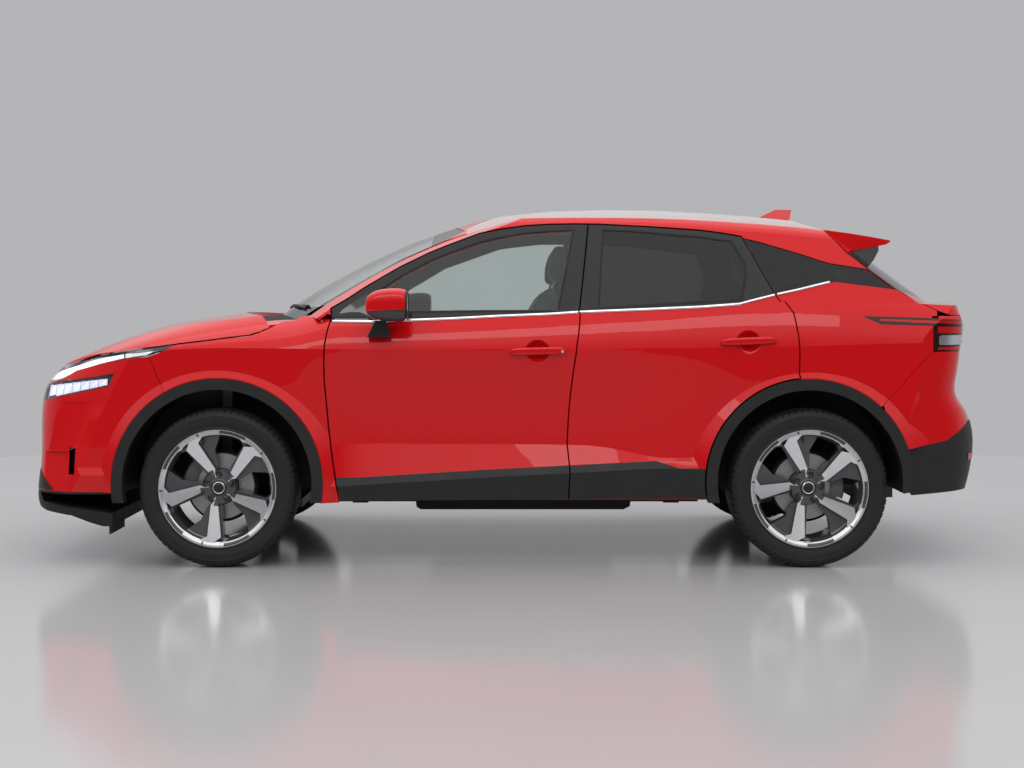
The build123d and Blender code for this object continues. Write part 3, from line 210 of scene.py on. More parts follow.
def polished(name, colour, rough=0.1):
    sh = Shader(name, coat=0.6, coat_rough=0.03)
    haze = sh.noise(26, 4)
    sh.set(colour=sh.tone(haze, colour, 0.85, 1.2))
    sh.set(rough=sh.remap(haze, 0.3, 0.8, rough * 0.8, rough * 1.5))
    return sh.set(normal=sh.bump(sh.noise(50, 1), 0.0001, 0.2)).mat


def glass(name, colour, dark=None, ior=1.45, coat=0.0):
    """Clear glass; dark(sh) is a factor that gives the printed black edge."""
    sh = Shader(name, ior=ior, coat=coat)
    tint = sh.tone(sh.noise(1.2, 2), colour, 0.97, 1.02)
    film = sh.remap(sh.noise(9, 5), 0.4, 0.8, 0.0, 0.006)
    if dark is None:
        return sh.set(colour=tint, rough=film, clear=1.0).mat
    edge = dark(sh)
    sh.set(colour=sh.mix(edge, tint, (0.012, 0.012, 0.013)), rough=sh.blend(edge, film, 0.12))
    return sh.set(clear=sh.less(1.0, edge)).mat


def printed_edge(sh, half_width, *bands):
    """Black print from half_width outwards, less higher up where the glass narrows, and on bands."""
    narrowing = sh.times(sh.less(sh.z, 1.139), 0.518)
    return sh.most(sh.remap(sh.math("ADD", sh.wide(), narrowing), half_width, half_width + 0.004), *bands)


def screen_edge(sh):
    return printed_edge(sh, 0.776, sh.remap(sh.x, -0.378, -0.372), sh.remap(sh.z, 1.185, 1.175))


def back_edge(sh):
    return printed_edge(sh, 0.700, sh.remap(sh.z, 1.262, 1.254), sh.remap(sh.z, 1.452, 1.458))


def tail_glass():
    """Red lamp cover with a clear field for the reversing lamp."""
    sh = Shader("red_lens", ior=1.06, coat=1.0, clear=1.0, rough=0.0)
    field = sh.times(sh.remap(sh.z, 0.999, 1.001), sh.remap(sh.z, 1.051, 1.049),
                     sh.remap(sh.x, 1.944, 1.946), sh.remap(sh.wide(), 0.655, 0.660))
    red = sh.mix(sh.noise(20, 2), (0.70, 0.014, 0.016), (0.80, 0.022, 0.022))
    return sh.set(colour=sh.mix(field, red, (0.90, 0.91, 0.92))).mat


def alloy(name, hub_x, blade_turn):
    """Painted dark wheel with machined blades and feet; blade_turn is one blade's angle."""
    sh = Shader(name)
    across, up = sh.less(sh.x, hub_x), sh.less(sh.z, HUB_Z)
    radius = sh.math("SQRT", sh.math("ADD", sh.times(across, across), sh.times(up, up)))
    out = sh.less(sh.wide(), WHEEL_Y)
    above = sh.less(out, sh.remap(radius, 0.060, 0.244, 0.068, 0.104))
    angle = sh.times(sh.math("ARCTAN2", up, across), 180 / math.pi)
    pitch = 360 / 5
    angle = sh.math("ADD", angle, 450.0 - blade_turn + pitch / 2)
    turn = sh.less(sh.math("MODULO", angle, pitch), pitch / 2)
    root = sh.times(sh.remap(turn, -26.0, -25.5), sh.remap(turn, 1.0, 0.5))
    root = sh.most(root, sh.remap(radius, 0.084, 0.085))
    blade = sh.times(sh.remap(above, -0.0022, -0.0016), sh.remap(radius, 0.0475, 0.048), root,
                     sh.remap(radius, 0.2482, 0.2478))
    slit = sh.remap(sh.math("ABSOLUTE", sh.less(turn, 2.5)), 0.8, 1.0)
    foot = sh.times(sh.remap(turn, -20.0, -19.6), sh.remap(turn, 24.8, 24.4), slit,
                    sh.remap(radius, 0.2415, 0.2420))
    lip = sh.times(sh.most(foot, sh.remap(radius, 0.2618, 0.2622)), sh.remap(out, 0.1000, 0.1004))
    cut = sh.most(blade, lip)
    silver = sh.mix(sh.noise(35, 3), (0.66, 0.67, 0.69), (0.78, 0.79, 0.80))
    dark = sh.mix(sh.noise(40, 3), (0.055, 0.057, 0.060), (0.072, 0.074, 0.078))
    sh.set(colour=sh.mix(cut, dark, silver), metal=sh.blend(cut, 0.35, 0.9))
    sh.set(rough=sh.blend(cut, 0.34, 0.27), coat=0.5, coat_rough=0.05)
    lathe_marks = sh.math("SINE", sh.times(radius, 9000.0))
    return sh.set(normal=sh.bump(sh.blend(cut, 0.5, lathe_marks), 0.00003, 0.25)).mat


def metal(name, colour, rough, scale=40, depth=0.0002, metallic=1.0, spread=0.15):
    sh = Shader(name, metal=metallic)
    grain = sh.noise(scale, 5)
    sh.set(colour=sh.tone(grain, colour, 1 - spread, 1 + spread))
    sh.set(rough=sh.remap(grain, 0.3, 0.75, rough * (1 - spread), rough * (1 + 1.5 * spread)))
    return sh.set(normal=sh.bump(sh.noise(scale * 8, 2), depth, 0.5)).mat


def rubber():
    sh = Shader("tyre_rubber", specular=0.35)
    wear = sh.noise(9, 5)
    base = sh.mix(sh.remap(wear, 0.35, 0.7), (0.008, 0.008, 0.0083), (0.015, 0.015, 0.0155))
    sh.set(colour=base, rough=sh.remap(wear, 0.3, 0.75, 0.52, 0.74))
    return sh.set(normal=sh.bump(sh.noise(700, 3), 0.0002, 0.5)).mat


def cloth(name, colour, scale):
    """Woven cloth; scale says how close its threads lie."""
    sh = Shader(name, sheen=0.35, rough=0.9)
    weave, worn = sh.weave(scale * 2.0), sh.noise(7, 4)
    base = sh.tone(sh.remap(weave, -0.4, 0.4), colour, 0.75, 1.25)
    sh.set(colour=sh.mix(sh.remap(worn, 0.4, 0.75, 0, 0.4), base, shade(colour, 1.5)))
    return sh.set(normal=sh.bump(weave, 0.0004, 0.6)).mat


def hide(name, colour):
    """Grained leather for the steering wheel and armrests."""
    sh = Shader(name, specular=0.4)
    tone = sh.tone(sh.remap(sh.noise(12, 3), 0.3, 0.7), colour, 0.88, 1.12)
    sh.set(colour=tone, rough=sh.remap(sh.noise(10, 4), 0.3, 0.7, 0.42, 0.6))
    return sh.set(normal=sh.bump(sh.cells(420), 0.0004, 0.5)).mat


def seat_cover():
    """Woven middle, grained leather bolsters and a pale thread along the joint."""
    sh = Shader("seat_cover", specular=0.35, sheen=0.15)
    off = sh.math("ABSOLUTE", sh.less(sh.wide(), SEAT_Y))
    side = sh.blend(sh.remap(sh.x, 0.38, 0.40), sh.remap(off, 0.148, 0.150),
                    sh.remap(sh.wide(), 0.47, 0.472))
    thread = sh.times(sh.remap(off, 0.142, 0.144), sh.remap(off, 0.148, 0.146), sh.remap(sh.x, 0.40, 0.38))
    weave = sh.weave(1500.0)
    woven = sh.mix(sh.remap(weave, -0.4, 0.4), (0.026, 0.027, 0.030), (0.044, 0.045, 0.048))
    leather = sh.mix(sh.noise(12, 3), (0.016, 0.016, 0.018), (0.026, 0.026, 0.028))
    tone = sh.mix(side, woven, leather)
    sh.set(colour=sh.mix(sh.times(thread, 0.8), tone, (0.20, 0.20, 0.21)))
    sh.set(rough=sh.blend(side, 0.88, 0.5))
    return sh.set(normal=sh.bump(sh.blend(side, weave, sh.cells(420)), 0.0004, 0.6)).mat


def lit(name, colour, strength):
    sh = Shader(name, rough=0.25, glow_strength=strength)
    bars = sh.noise(45, 2)
    return sh.set(colour=sh.tone(bars, colour, 0.85, 1.0), glow=sh.tone(bars, colour, 0.8, 1.0)).mat


CLADDING = (0.0095, 0.0098, 0.0103)
PAINT = paint()
CLAD = plastic("cladding", CLADDING, 0.56)
BLACK = polished("gloss_black", (0.010, 0.0103, 0.011))
SATIN_BLACK = plastic("satin_black", (0.012, 0.012, 0.0125), 0.42, 0.0001)
SEAL = plastic("rubber_seal", (0.006, 0.006, 0.0062), 0.7, 0.0001)
CHROME = metal("bright_strip", (0.86, 0.87, 0.88), 0.12, 30, 0.000004, spread=0.03)
SILVER = metal("satin_silver", (0.72, 0.73, 0.74), 0.3, 60, 0.000006, spread=0.03)
RAIL = metal("rail_silver", (0.90, 0.91, 0.92), 0.38, 60, 0.000006, 0.25, 0.03)
STEEL = metal("disc_steel", (0.34, 0.34, 0.35), 0.38, 60, 0.0001)
CAST = metal("cast_iron", (0.14, 0.14, 0.145), 0.6, 90, 0.0006, 0.8)
DARK_METAL = metal("dark_metal", (0.06, 0.061, 0.064), 0.42, 60, 0.0002, 0.7)
CABIN = plastic("cabin_plastic", (0.020, 0.020, 0.021), 0.6, 0.0004)
UNDER = plastic("underbody", (0.0085, 0.0085, 0.009), 0.75, 0.0006)
FABRIC = cloth("seat_fabric", (0.030, 0.031, 0.034), 900)
LEATHER = hide("seat_leather", (0.022, 0.022, 0.024))
COVER = seat_cover()
CARPET = cloth("carpet", (0.016, 0.016, 0.017), 400)
CLEAR = glass("door_glass", (0.80, 0.87, 0.85))
SCREEN = glass("windscreen_glass", (0.78, 0.86, 0.84), screen_edge)
PRIVACY = glass("privacy_glass", (0.17, 0.175, 0.18))
BACK_GLASS = glass("tailgate_glass", (0.20, 0.21, 0.215), back_edge)
QUARTER = glass("quarter_glass", (0.06, 0.062, 0.065))
LENS = glass("lamp_cover", (0.96, 0.97, 0.98), ior=1.06, coat=1.0)
RED_LENS = tail_glass()
MIRROR = metal("mirror_glass", (0.85, 0.87, 0.9), 0.06, 20, 0.000002, spread=0.02)
WHITE_LAMP = lit("white_lamp", (0.93, 0.95, 1.0), 0.55)
BLUE_LAMP = lit("bluish_lamp", (0.74, 0.79, 0.95), 0.55)
RED_LAMP = lit("red_lamp", (0.62, 0.010, 0.014), 0.18)
PALE_LAMP = lit("pale_lamp", (0.90, 0.90, 0.88), 0.35)
# the rear reflectors get a faint red emission: a painted glow, as a reflector gives no light of its own
RED_REFLECTOR_PAINTED_GLOW = lit("reflector_red_painted_glow", (0.42, 0.01, 0.012), 0.02)
REFLECTOR = metal("reflector", (0.78, 0.80, 0.84), 0.18, 30, 0.00001, spread=0.04)
PLATE = plastic("blank_plate", (0.62, 0.62, 0.60), 0.4, 0.00003, 0.03)
MILKY = plastic("milky_plastic", (0.48, 0.47, 0.43), 0.35, 0.00005, 0.04)
RUBBER = rubber()

NODE_MATERIALS = {
    "red_paint": PAINT, "dark_cladding": CLAD, "gloss_black": BLACK, "clear_glass": CLEAR,
    "dark_glass": PRIVACY, "lamp_clear": LENS, "lamp_red": RED_LENS, "satin_silver": SILVER,
    "tyre": RUBBER, "wheel_alloy": alloy("front_alloy", FRONT_X, -90.0), "underbody_grey": UNDER,
    "cast_metal": CAST, "cabin_dark": CABIN, "seat_cloth": FABRIC,
}
OWN_MATERIALS = {
    "windscreen": SCREEN, "tailgate_glass": BACK_GLASS, "quarter_glasses": QUARTER,
    "roof_rails": RAIL, "cowl": cowl_paint(),
}
OWN_MATERIALS.update(dict.fromkeys(("rim_rear_left", "rim_rear_right"), alloy("rear_alloy", REAR_X, -99.0)))
OWN_MATERIALS.update(dict.fromkeys((n for n in frame["nodes"] if n.startswith("trim_")), trim()))
slot_of = {row["node"]: row["material_slot"] for row in frame["record"]["subparts"]}
for name, obj in frame["nodes"].items():
    mat = OWN_MATERIALS.get(name, NODE_MATERIALS[slot_of[name]])
    if not obj.material_slots:
        obj.data.materials.append(mat)
    for place in obj.material_slots:
        place.material = mat


# ------------------------------------------------------------------ mesh forms
def turns(count):
    return [2 * math.pi * i / count for i in range(count)]


def power(value, exponent):
    return math.copysign(abs(value) ** exponent, value)


class Form:
    """Points and faces that become one piece."""

    def __init__(self):
        self.points, self.faces = [], []

    def grid(self, rows, round_rows=False, round_points=False, caps=False):
        if len(rows) < 2:
            return self
        base, count, wide = len(self.points), len(rows), len(rows[0])
        for row in rows:
            self.points += [tuple(p) for p in row]
        for i in range(count if round_rows else count - 1):
            for j in range(wide if round_points else wide - 1):
                a, b = i * wide, ((i + 1) % count) * wide
                k = (j + 1) % wide
                self.faces.append((base + a + j, base + a + k, base + b + k, base + b + j))
        if caps:
            for start in (base, base + (count - 1) * wide):
                self.faces.append(tuple(range(start, start + wide)))
        return self

    def lathe(self, place, profile, steps=32):
        """profile: (out, radius) points turned round the line that place(u, v, out) has as axis."""
        rows = [[place(r * math.cos(turn), r * math.sin(turn), out) for out, r in profile]
                for turn in turns(steps)]
        return self.grid(rows, round_rows=True, round_points=True)

    def sweep(self, path, section, outward, closed=False):
        """section: (along outward, across) points carried along path."""
        path = [Vector(p) for p in path]
        rows = []
        for i, point in enumerate(path):
            before = path[i - 1] if i or closed else point
            after = path[(i + 1) % len(path)] if i < len(path) - 1 or closed else point
            way = (after - before).normalized()
            out = Vector(outward[i] if isinstance(outward, list) else outward)
            out = (out - way * out.dot(way)).normalized()
            side = way.cross(out)
            rows.append([point + out * a + side * b for a, b in section])
        return self.grid(rows, round_rows=closed, round_points=True, caps=not closed)

    def tube(self, path, radius, outward=(0, 1, 0), sides=10):
        section = [(radius * math.cos(turn), radius * math.sin(turn)) for turn in turns(sides)]
        return self.sweep(path, section, outward)

    def box(self, centre, size, bevel=0.002, turn=None, segments=2):
        bm = bmesh.new()
        bmesh.ops.create_cube(bm, size=1.0, matrix=Matrix.Diagonal((*size, 1)))
        bmesh.ops.bevel(bm, geom=bm.edges[:], offset=bevel, segments=segments, affect="EDGES")
        if turn:
            bmesh.ops.rotate(bm, verts=bm.verts[:], matrix=turn)
        base = len(self.points)
        self.points += [tuple(v.co + Vector(centre)) for v in bm.verts]
        self.faces += [tuple(base + v.index for v in f.verts) for f in bm.faces]
        bm.free()
        return self

    def piece(self, name, mat, body="body", slot=None, sharp=35, levels=0, replaces=()):
        mesh = bpy.data.meshes.new(name)
        mesh.from_pydata(self.points, [], self.faces)
        bm = bmesh.new()
        bm.from_mesh(mesh)
        bmesh.ops.remove_doubles(bm, verts=bm.verts[:], dist=2e-6)
        bmesh.ops.recalc_face_normals(bm, faces=bm.faces[:])
        bm.to_mesh(mesh)
        bm.free()
        mesh.shade_smooth()
        mesh.set_sharp_from_angle(angle=math.radians(sharp))
        obj = bpy.data.objects.new(name, mesh)
        bpy.context.scene.collection.objects.link(obj)
        obj.data.materials.append(mat)
        if levels:
            mod = obj.modifiers.new("round", "SUBSURF")
            mod.levels = mod.render_levels = levels
        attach(obj, body)
        if replaces:
            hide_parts(*replaces)
        return obj


def block(name, mat, centre, size, bevel, body="body", sharp=35, segments=2):
    Form().box(centre, size, bevel, segments=segments).piece(name, mat, body, sharp=sharp)


def upright(x, y, z):
    """Place function of a lathe that stands on a spot."""
    return lambda u, v, out: (x + u, y + v, z + out)


def skin(*names):
    """Surface of CAD nodes for finding where a line meets it."""
    points, faces = [], []
    for name in names:
        obj = frame["nodes"][name]
        base = len(points)
        points += [obj.matrix_world @ v.co for v in obj.data.vertices]
        faces += [[base + i for i in f.vertices] for f in obj.data.polygons]
    return BVHTree.FromPolygons(points, faces)


def cast(tree, start, way):
    """Where a line from start along way meets tree: the point, and the normal that faces the line."""
    hit, normal, _, _ = tree.ray_cast(Vector(start), Vector(way))
    if hit is None:
        return None
    return hit, (normal if normal.dot(Vector(way)) < 0 else -normal)


def from_side(tree, x, z, side):
    return cast(tree, (x, side * 2.0, z), (0, -side, 0))


def from_end(tree, y, z, end):
    """From the nose (-1) or the tail (1)."""
    return cast(tree, (end * 3.0, y, z), (-end, 0, 0))


def from_top(tree, x, y):
    return cast(tree, (x, y, 3.0), (0, 0, -1))


def from_inside(tree, x, z, side):
    """From the middle of the cabin to one side."""
    return cast(tree, (x, side * 0.10, z), (0, side, 0))


def along(points, step):
    """Points put evenly along a run of points of any number of values."""
    out = []
    for a, b in zip(points, points[1:]):
        count = max(1, round(math.dist(a[:2], b[:2]) / step))
        out += [tuple(p + (q - p) * i / count for p, q in zip(a, b)) for i in range(count)]
    return out + [points[-1]]


def strip(form, hits, width, proud, sunk=0.002):
    """A strip on a surface; hits are (point, normal) pairs."""
    hits = [h for h in hits if h]
    half, edge = width / 2, min(width, proud + sunk) * 0.3
    section = [(-sunk, -half), (proud - edge, -half), (proud, -half + edge), (proud, half - edge),
               (proud - edge, half), (-sunk, half)]
    return form.sweep([h[0] for h in hits], section, [h[1] for h in hits])


def lifted(hits, height):
    """Points height above the surface where the hits are."""
    return [point + normal * height for point, normal in hits]


def whole(rows):
    """Rows of which every line met the surface."""
    return [hits for hits in rows if all(hits)]


def sheet(form, rows, height):
    """A sheet height above the surface."""
    return form.grid([lifted(hits, height) for hits in whole(rows)])


# ------------------------------------------------------------------ wheels and brakes
def at_wheel(x, side):
    """Place function: across, up and outwards from the middle of a wheel."""
    return lambda u, v, out: (x + u, side * (WHEEL_Y + out), HUB_Z + v)


TYRE_WALL = [(0.101, 0.2525), (0.1068, 0.256), (0.1105, 0.265), (0.1130, 0.271), (0.1108, 0.276),
             (0.1140, 0.288), (0.1165, 0.300), (0.1172, 0.312), (0.1160, 0.323), (0.1166, 0.3245),
             (0.1162, 0.3275), (0.1140, 0.330), (0.1100, 0.3375), (0.1060, 0.3432)]
TREAD_EDGE = [(0.1015, 0.3485), (0.0955, 0.3525), (0.0880, 0.3548)]
GROOVES = ((0.067, 0.058), (0.028, 0.019), (-0.019, -0.028), (-0.058, -0.067))
GROOVE_DEPTH, PITCHES = 0.007, 70
CROSS_CUT = ((0.0, 0.0), (0.025, 1.0), (0.13, 1.0), (0.155, 0.0))


def tyre(name, place, body, node):
    """Tyre with ribs, four round grooves and angled cross grooves."""
    crown = []
    for high, low in GROOVES:
        crown += [(high, 0.0), (high - 0.0012, GROOVE_DEPTH), (low + 0.0012, GROOVE_DEPTH), (low, 0.0)]
    outer = TYRE_WALL + TREAD_EDGE
    profile = outer + [(out, TYRE_R - 0.42 * out * out - depth) for out, depth in crown]
    profile += [(-out, r) for out, r in outer[::-1]]
    rows = []
    for pitch in range(PITCHES):
        for share, cut in CROSS_CUT:
            row = []
            for out, r in profile:
                skew = 0.42 * max(-0.09, min(0.09, out))
                turn = 2 * math.pi * (pitch + share) / PITCHES + skew
                if r > 0.341:
                    r -= cut * (0.002 if r <= 0.345 else 0.0055 if abs(out) >= 0.0665 else 0.003)
                row.append(place(r * math.cos(turn), r * math.sin(turn), out))
            rows.append(row)
    form = Form().grid(rows, round_rows=True, round_points=True)
    form.piece(name, RUBBER, body, "tyre", sharp=38, replaces=(node,))


def ring_box(form, place, start, stop, section, steps=12):
    """A block bent round the wheel's axis; section is (out, radius) points."""
    rows = []
    for i in range(steps + 1):
        turn = math.radians(start + (stop - start) * i / steps)
        rows.append([place(r * math.cos(turn), r * math.sin(turn), out) for out, r in section])
    return form.grid(rows, round_points=True, caps=True)


DISC_FACES = ((-0.014, -0.005), (0.001, 0.010))
DISC_RIB = [(-0.005, 0.100), (-0.005, 0.148), (0.001, 0.148), (0.001, 0.100)]
DISC_HAT = [(-0.012, 0.0835), (-0.012, 0.0890), (0.020, 0.0890), (0.020, 0.0835)]
CALIPER = [(-0.052, 0.118), (-0.056, 0.160), (-0.046, 0.174), (0.012, 0.176), (0.0205, 0.168),
           (0.0215, 0.128), (0.0175, 0.112), (0.0125, 0.112), (0.0125, 0.156), (-0.018, 0.156),
           (-0.018, 0.112)]
CALIPER_EAR = [(-0.050, 0.100), (-0.050, 0.150), (-0.026, 0.150), (-0.026, 0.100)]
SHIELD = [(-0.030, 0.062), (-0.024, 0.156), (-0.014, 0.163), (-0.0155, 0.165), (-0.026, 0.158),
          (-0.032, 0.062)]
NUT = [(0.058, 0.0), (0.058, 0.0098), (0.0765, 0.0098), (0.0795, 0.0080), (0.0805, 0.0)]
NUT_SEAT = [(0.060, 0.0110), (0.0700, 0.0115), (0.0712, 0.0130), (0.0708, 0.0150), (0.060, 0.0158)]
CAP_RING = [(0.0745, 0.0235), (0.0798, 0.0240), (0.0803, 0.0255), (0.0795, 0.0268), (0.0745, 0.0272)]
HUB_CAP = [(0.0700, 0.0), (0.0700, 0.0350), (0.0752, 0.0350), (0.0770, 0.0320), (0.0775, 0.0270),
           (0.0775, 0.0235), (0.0788, 0.0225), (0.0800, 0.012), (0.0803, 0.0)]
VALVE = ((0.236, 0.092), (0.226, 0.093), (0.216, 0.097), (0.206, 0.101))
NUT_CIRCLE_R = 0.059


def wheel(end, label, x, side, nut_turn, caliper_turn):
    body, place = f"wheel_{end}_{label}", at_wheel(x, side)
    fixed = f"knuckle_{label}" if end == "front" else "body"
    tyre(f"tyre_{end}_{label}_treaded", place, body, f"tyre_{end}_{label}")
    disc = Form()
    for low, high in DISC_FACES:
        disc.lathe(place, [(low, 0.0885), (low, 0.150), (low + 0.001, 0.151), (high - 0.001, 0.151),
                           (high, 0.150), (high, 0.0885)], 64)
    for turn in range(0, 360, 10):
        ring_box(disc, place, turn, turn + 3, DISC_RIB, 1)
    disc.lathe(place, DISC_HAT, 48)
    disc.piece(f"brake_disc_{end}_{label}", STEEL, body, sharp=30)
    low, high = caliper_turn - 27, caliper_turn + 27
    caliper = ring_box(Form(), place, low, high, CALIPER, 10)
    ring_box(caliper, place, low - 9, low + 2, CALIPER_EAR, 3)
    ring_box(caliper, place, high - 2, high + 9, CALIPER_EAR, 3)
    caliper.piece(f"caliper_{end}_{label}", CAST, fixed, sharp=30)
    shield = ring_box(Form(), place, caliper_turn + 42, caliper_turn + 318, SHIELD, 48)
    shield.piece(f"dust_shield_{end}_{label}", DARK_METAL, fixed, sharp=30)
    nuts, seats = Form(), Form()
    for i in range(5):
        turn = math.radians(nut_turn + 72 * i)

        def near(a, b, out, u=NUT_CIRCLE_R * math.cos(turn), v=NUT_CIRCLE_R * math.sin(turn)):
            return place(u + a, v + b, out)
        nuts.lathe(near, NUT, 6)
        seats.lathe(near, NUT_SEAT, 20)
    nuts.piece(f"lug_nuts_{end}_{label}", DARK_METAL, body, sharp=30)
    seats.piece(f"nut_seats_{end}_{label}", BLACK, body, sharp=30)
    Form().lathe(place, CAP_RING, 40).piece(f"cap_ring_{end}_{label}", CHROME, body, sharp=50)
    Form().lathe(place, HUB_CAP, 40).piece(f"hub_cap_{end}_{label}", SATIN_BLACK, body, sharp=50)
    turn = math.radians(nut_turn + 18)
    stem = Form().tube([place(math.cos(turn) * r, math.sin(turn) * r, out) for r, out in VALVE], 0.0042)
    stem.piece(f"valve_{end}_{label}", SEAL, body, sharp=50)


for label, side in SIDES:
    wheel("front", label, FRONT_X, side, 90, 152)
    wheel("rear", label, REAR_X, side, 79, 8)


# ------------------------------------------------------------------ side details
BELT = [(-0.855, 1.1075), (-0.816, 1.107), (-0.635, 1.105), (-0.273, 1.118), (-0.046, 1.130),
        (0.180, 1.139), (0.312, 1.148), (0.407, 1.152), (0.633, 1.161), (0.860, 1.171),
        (1.041, 1.184), (1.132, 1.207), (1.222, 1.229), (1.313, 1.248), (1.404, 1.270),
        (1.468, 1.285)]
FRONT_PANE = [(-0.6395, 1.147), (-0.6125, 1.246), (-0.4995, 1.322), (-0.3715, 1.392),
              (-0.2795, 1.430), (-0.1405, 1.481), (-0.0475, 1.503), (0.0695, 1.524),
              (0.1865, 1.533), (0.3005, 1.536), (0.2525, 1.299), (0.2215, 1.153)]
REAR_PANE = [(0.3985, 1.164), (0.4275, 1.536), (0.5195, 1.535), (0.6515, 1.526), (0.8845, 1.505),
             (1.0295, 1.484), (1.0855, 1.383), (1.0875, 1.323), (1.0595, 1.203)]
SEAL_SECTION = [(-0.001, -0.0055), (0.002, -0.0055), (0.0035, 0), (0.002, 0.0055), (-0.001, 0.0055)]
LOCK = [(0.0, 0.0), (0.0, 0.0062), (0.0022, 0.0058), (0.0030, 0.0044), (0.0018, 0.0040), (0.0018, 0.0)]


def between(points, low, high):
    """The part of a side-view run that lies between two X values."""
    def at(x):
        for (x0, z0), (x1, z1) in zip(points, points[1:]):
            if x0 <= x <= x1:
                return x, z0 + (z1 - z0) * (x - x0) / (x1 - x0)
    return [at(low)] + [p for p in points if low < p[0] < high] + [at(high)]


def belt_hits(tree, run, side, lift):
    """Points on the side along run; the outermost of three close rays, leaning a little up."""
    out = []
    for x, z in along(run, 0.04):
        found = [from_side(tree, x, z + lift + dz, side) for dz in (-0.005, 0.0, 0.005)]
        found = [f[0].y * side for f in found if f and abs(f[0].y) > 0.55]
        if found:
            out.append((Vector((x, side * max(found), z + lift)), Vector((0, side, 0.2)).normalized()))
    return out


def pane_seal(tree, pane, side):
    """Rubber lip lying on the glass all along its edge."""
    middle = Vector((sum(p[0] for p in pane) / len(pane), sum(p[1] for p in pane) / len(pane)))
    points = [Vector(p) for p in along(pane + [pane[0]], 0.03)[:-1]]
    points = [p + (middle - p).normalized() * 0.004 for p in points]
    hits = [h for h in (from_side(tree, x, z, side) for x, z in points) if h]
    return Form().sweep([h[0] for h in hits], SEAL_SECTION, [h[1] for h in hits], closed=True)


for label, side in SIDES:
    spans = (("body", -0.855, -0.8155, ("fenders", "side_frames")),
             (f"door_front_{label}", -0.806, 0.3075, (f"door_front_{label}", f"trim_front_{label}")),
             (f"door_rear_{label}", 0.3165, 1.208, (f"door_rear_{label}", f"trim_rear_{label}")),
             ("body", 1.220, 1.468, ("side_frames", "quarter_glasses")))
    for i, (body, low, high, nodes) in enumerate(spans):
        hits = belt_hits(skin(*nodes), between(BELT, low, high), side, 0.004)
        form = strip(Form(), hits, 0.0125, 0.0035, 0.004)
        form.piece(f"belt_strip_{label}_{i}", CHROME, body, "satin_silver", sharp=50)
    for end, pane in (("front", FRONT_PANE), ("rear", REAR_PANE)):
        form = pane_seal(skin(f"glass_{end}_{label}"), pane, side)
        form.piece(f"glass_seal_{end}_{label}", SEAL, f"door_{end}_{label}", sharp=60)
lock = Form().lathe(lambda u, v, out: (0.235 + u, -0.9285 - out, 0.974 + v), LOCK, 24)
lock.piece("door_lock", SILVER, "door_front_left", sharp=40)


# ------------------------------------------------------------------ lamps
def patch(form, tree, rows, depth, way, steps=3, ray=from_side):
    """Sheet depth under the skin; rows are (x, low z, high z) seen from a side, (y, ..) from an end."""
    lines = [[ray(tree, at, low + (high - low) * i / steps, way) for i in range(steps + 1)]
             for at, low, high in rows]
    return sheet(form, lines, -depth)


def end_patch(form, tree, side, ys, low, high, depth, end, steps=3):
    """The same between two heights, seen from the nose (-1) or the tail (1)."""
    return patch(form, tree, [(side * y, low, high) for y in ys], depth, end, steps, from_end)


def spaced(rows, step):
    """Rows (x, low, high) put closer together by straight lines."""
    out = []
    for a, b in zip(rows, rows[1:]):
        count = max(1, math.ceil(abs(b[0] - a[0]) / step))
        out += [tuple(p + (q - p) * i / count for p, q in zip(a, b)) for i in range(count)]
    return out + [rows[-1]]


UPPER_HOUSING = [(-2.150, .830, .889), (-2.1345, .829, .890), (-2.0725, .839, .890),
                 (-2.0555, .845, .895), (-2.0075, .871, .909), (-1.9785, .888, .917),
                 (-1.8715, .915, .949), (-1.7695, .938, .966), (-1.6295, .954, .984),
                 (-1.5615, .979, .994)]
DAY_BLADE = [(-2.150, .836, .854), (-2.100, .842, .874), (-2.060, .851, .889), (-2.000, .877, .905),
             (-1.930, .900, .925), (-1.8685, .917, .942), (-1.7675, .940, .959), (-1.745, .944, .963)]
TURN_BLADE = [(-1.738, .945, .964), (-1.700, .950, .969), (-1.640, .957, .976), (-1.605, .974, .980)]
LOWER_HOUSING = [(-2.150, .749, .819), (-2.1345, .752, .819), (-2.0545, .769, .835),
                 (-1.9255, .796, .849), (-1.8135, .820, .868), (-1.797, .855, .871)]
BOWL_PITCH, BOWLS = 0.045, 7
LENS_PROFILE = [(0.0, 0.0), (0.0, 0.021), (0.006, 0.021), (0.009, 0.018), (0.011, 0.010), (0.0115, 0.0)]
TAIL_ARROW = [(1.610, 1.126, 1.131), (1.6735, 1.100, 1.129), (1.900, 1.092, 1.122),
              (1.914, 1.092, 1.120)]


def bowl_span(x, low, high):
    """Lower and upper edge of the lower lamp's bowls at x."""
    off = x + 2.0545
    return low + .209 * max(off, -0.05), high + .11 * off


def lamp_fin(form, tree, x, side):
    """An upright rib between two bowls, leaning back with height."""
    low, high = bowl_span(x, .783, .822)
    lines = []
    for t in (0, 0.33, 0.66, 1):
        front, back = (from_side(tree, x + 0.018 * t + dx, low + (high - low) * t, side)
                       for dx in (0, .009))
        if front and back:
            lines.append(lifted((front,), -0.013) + lifted((front, back), -0.006)
                         + lifted((back,), -0.013))
    form.grid(lines, round_points=True, caps=True)


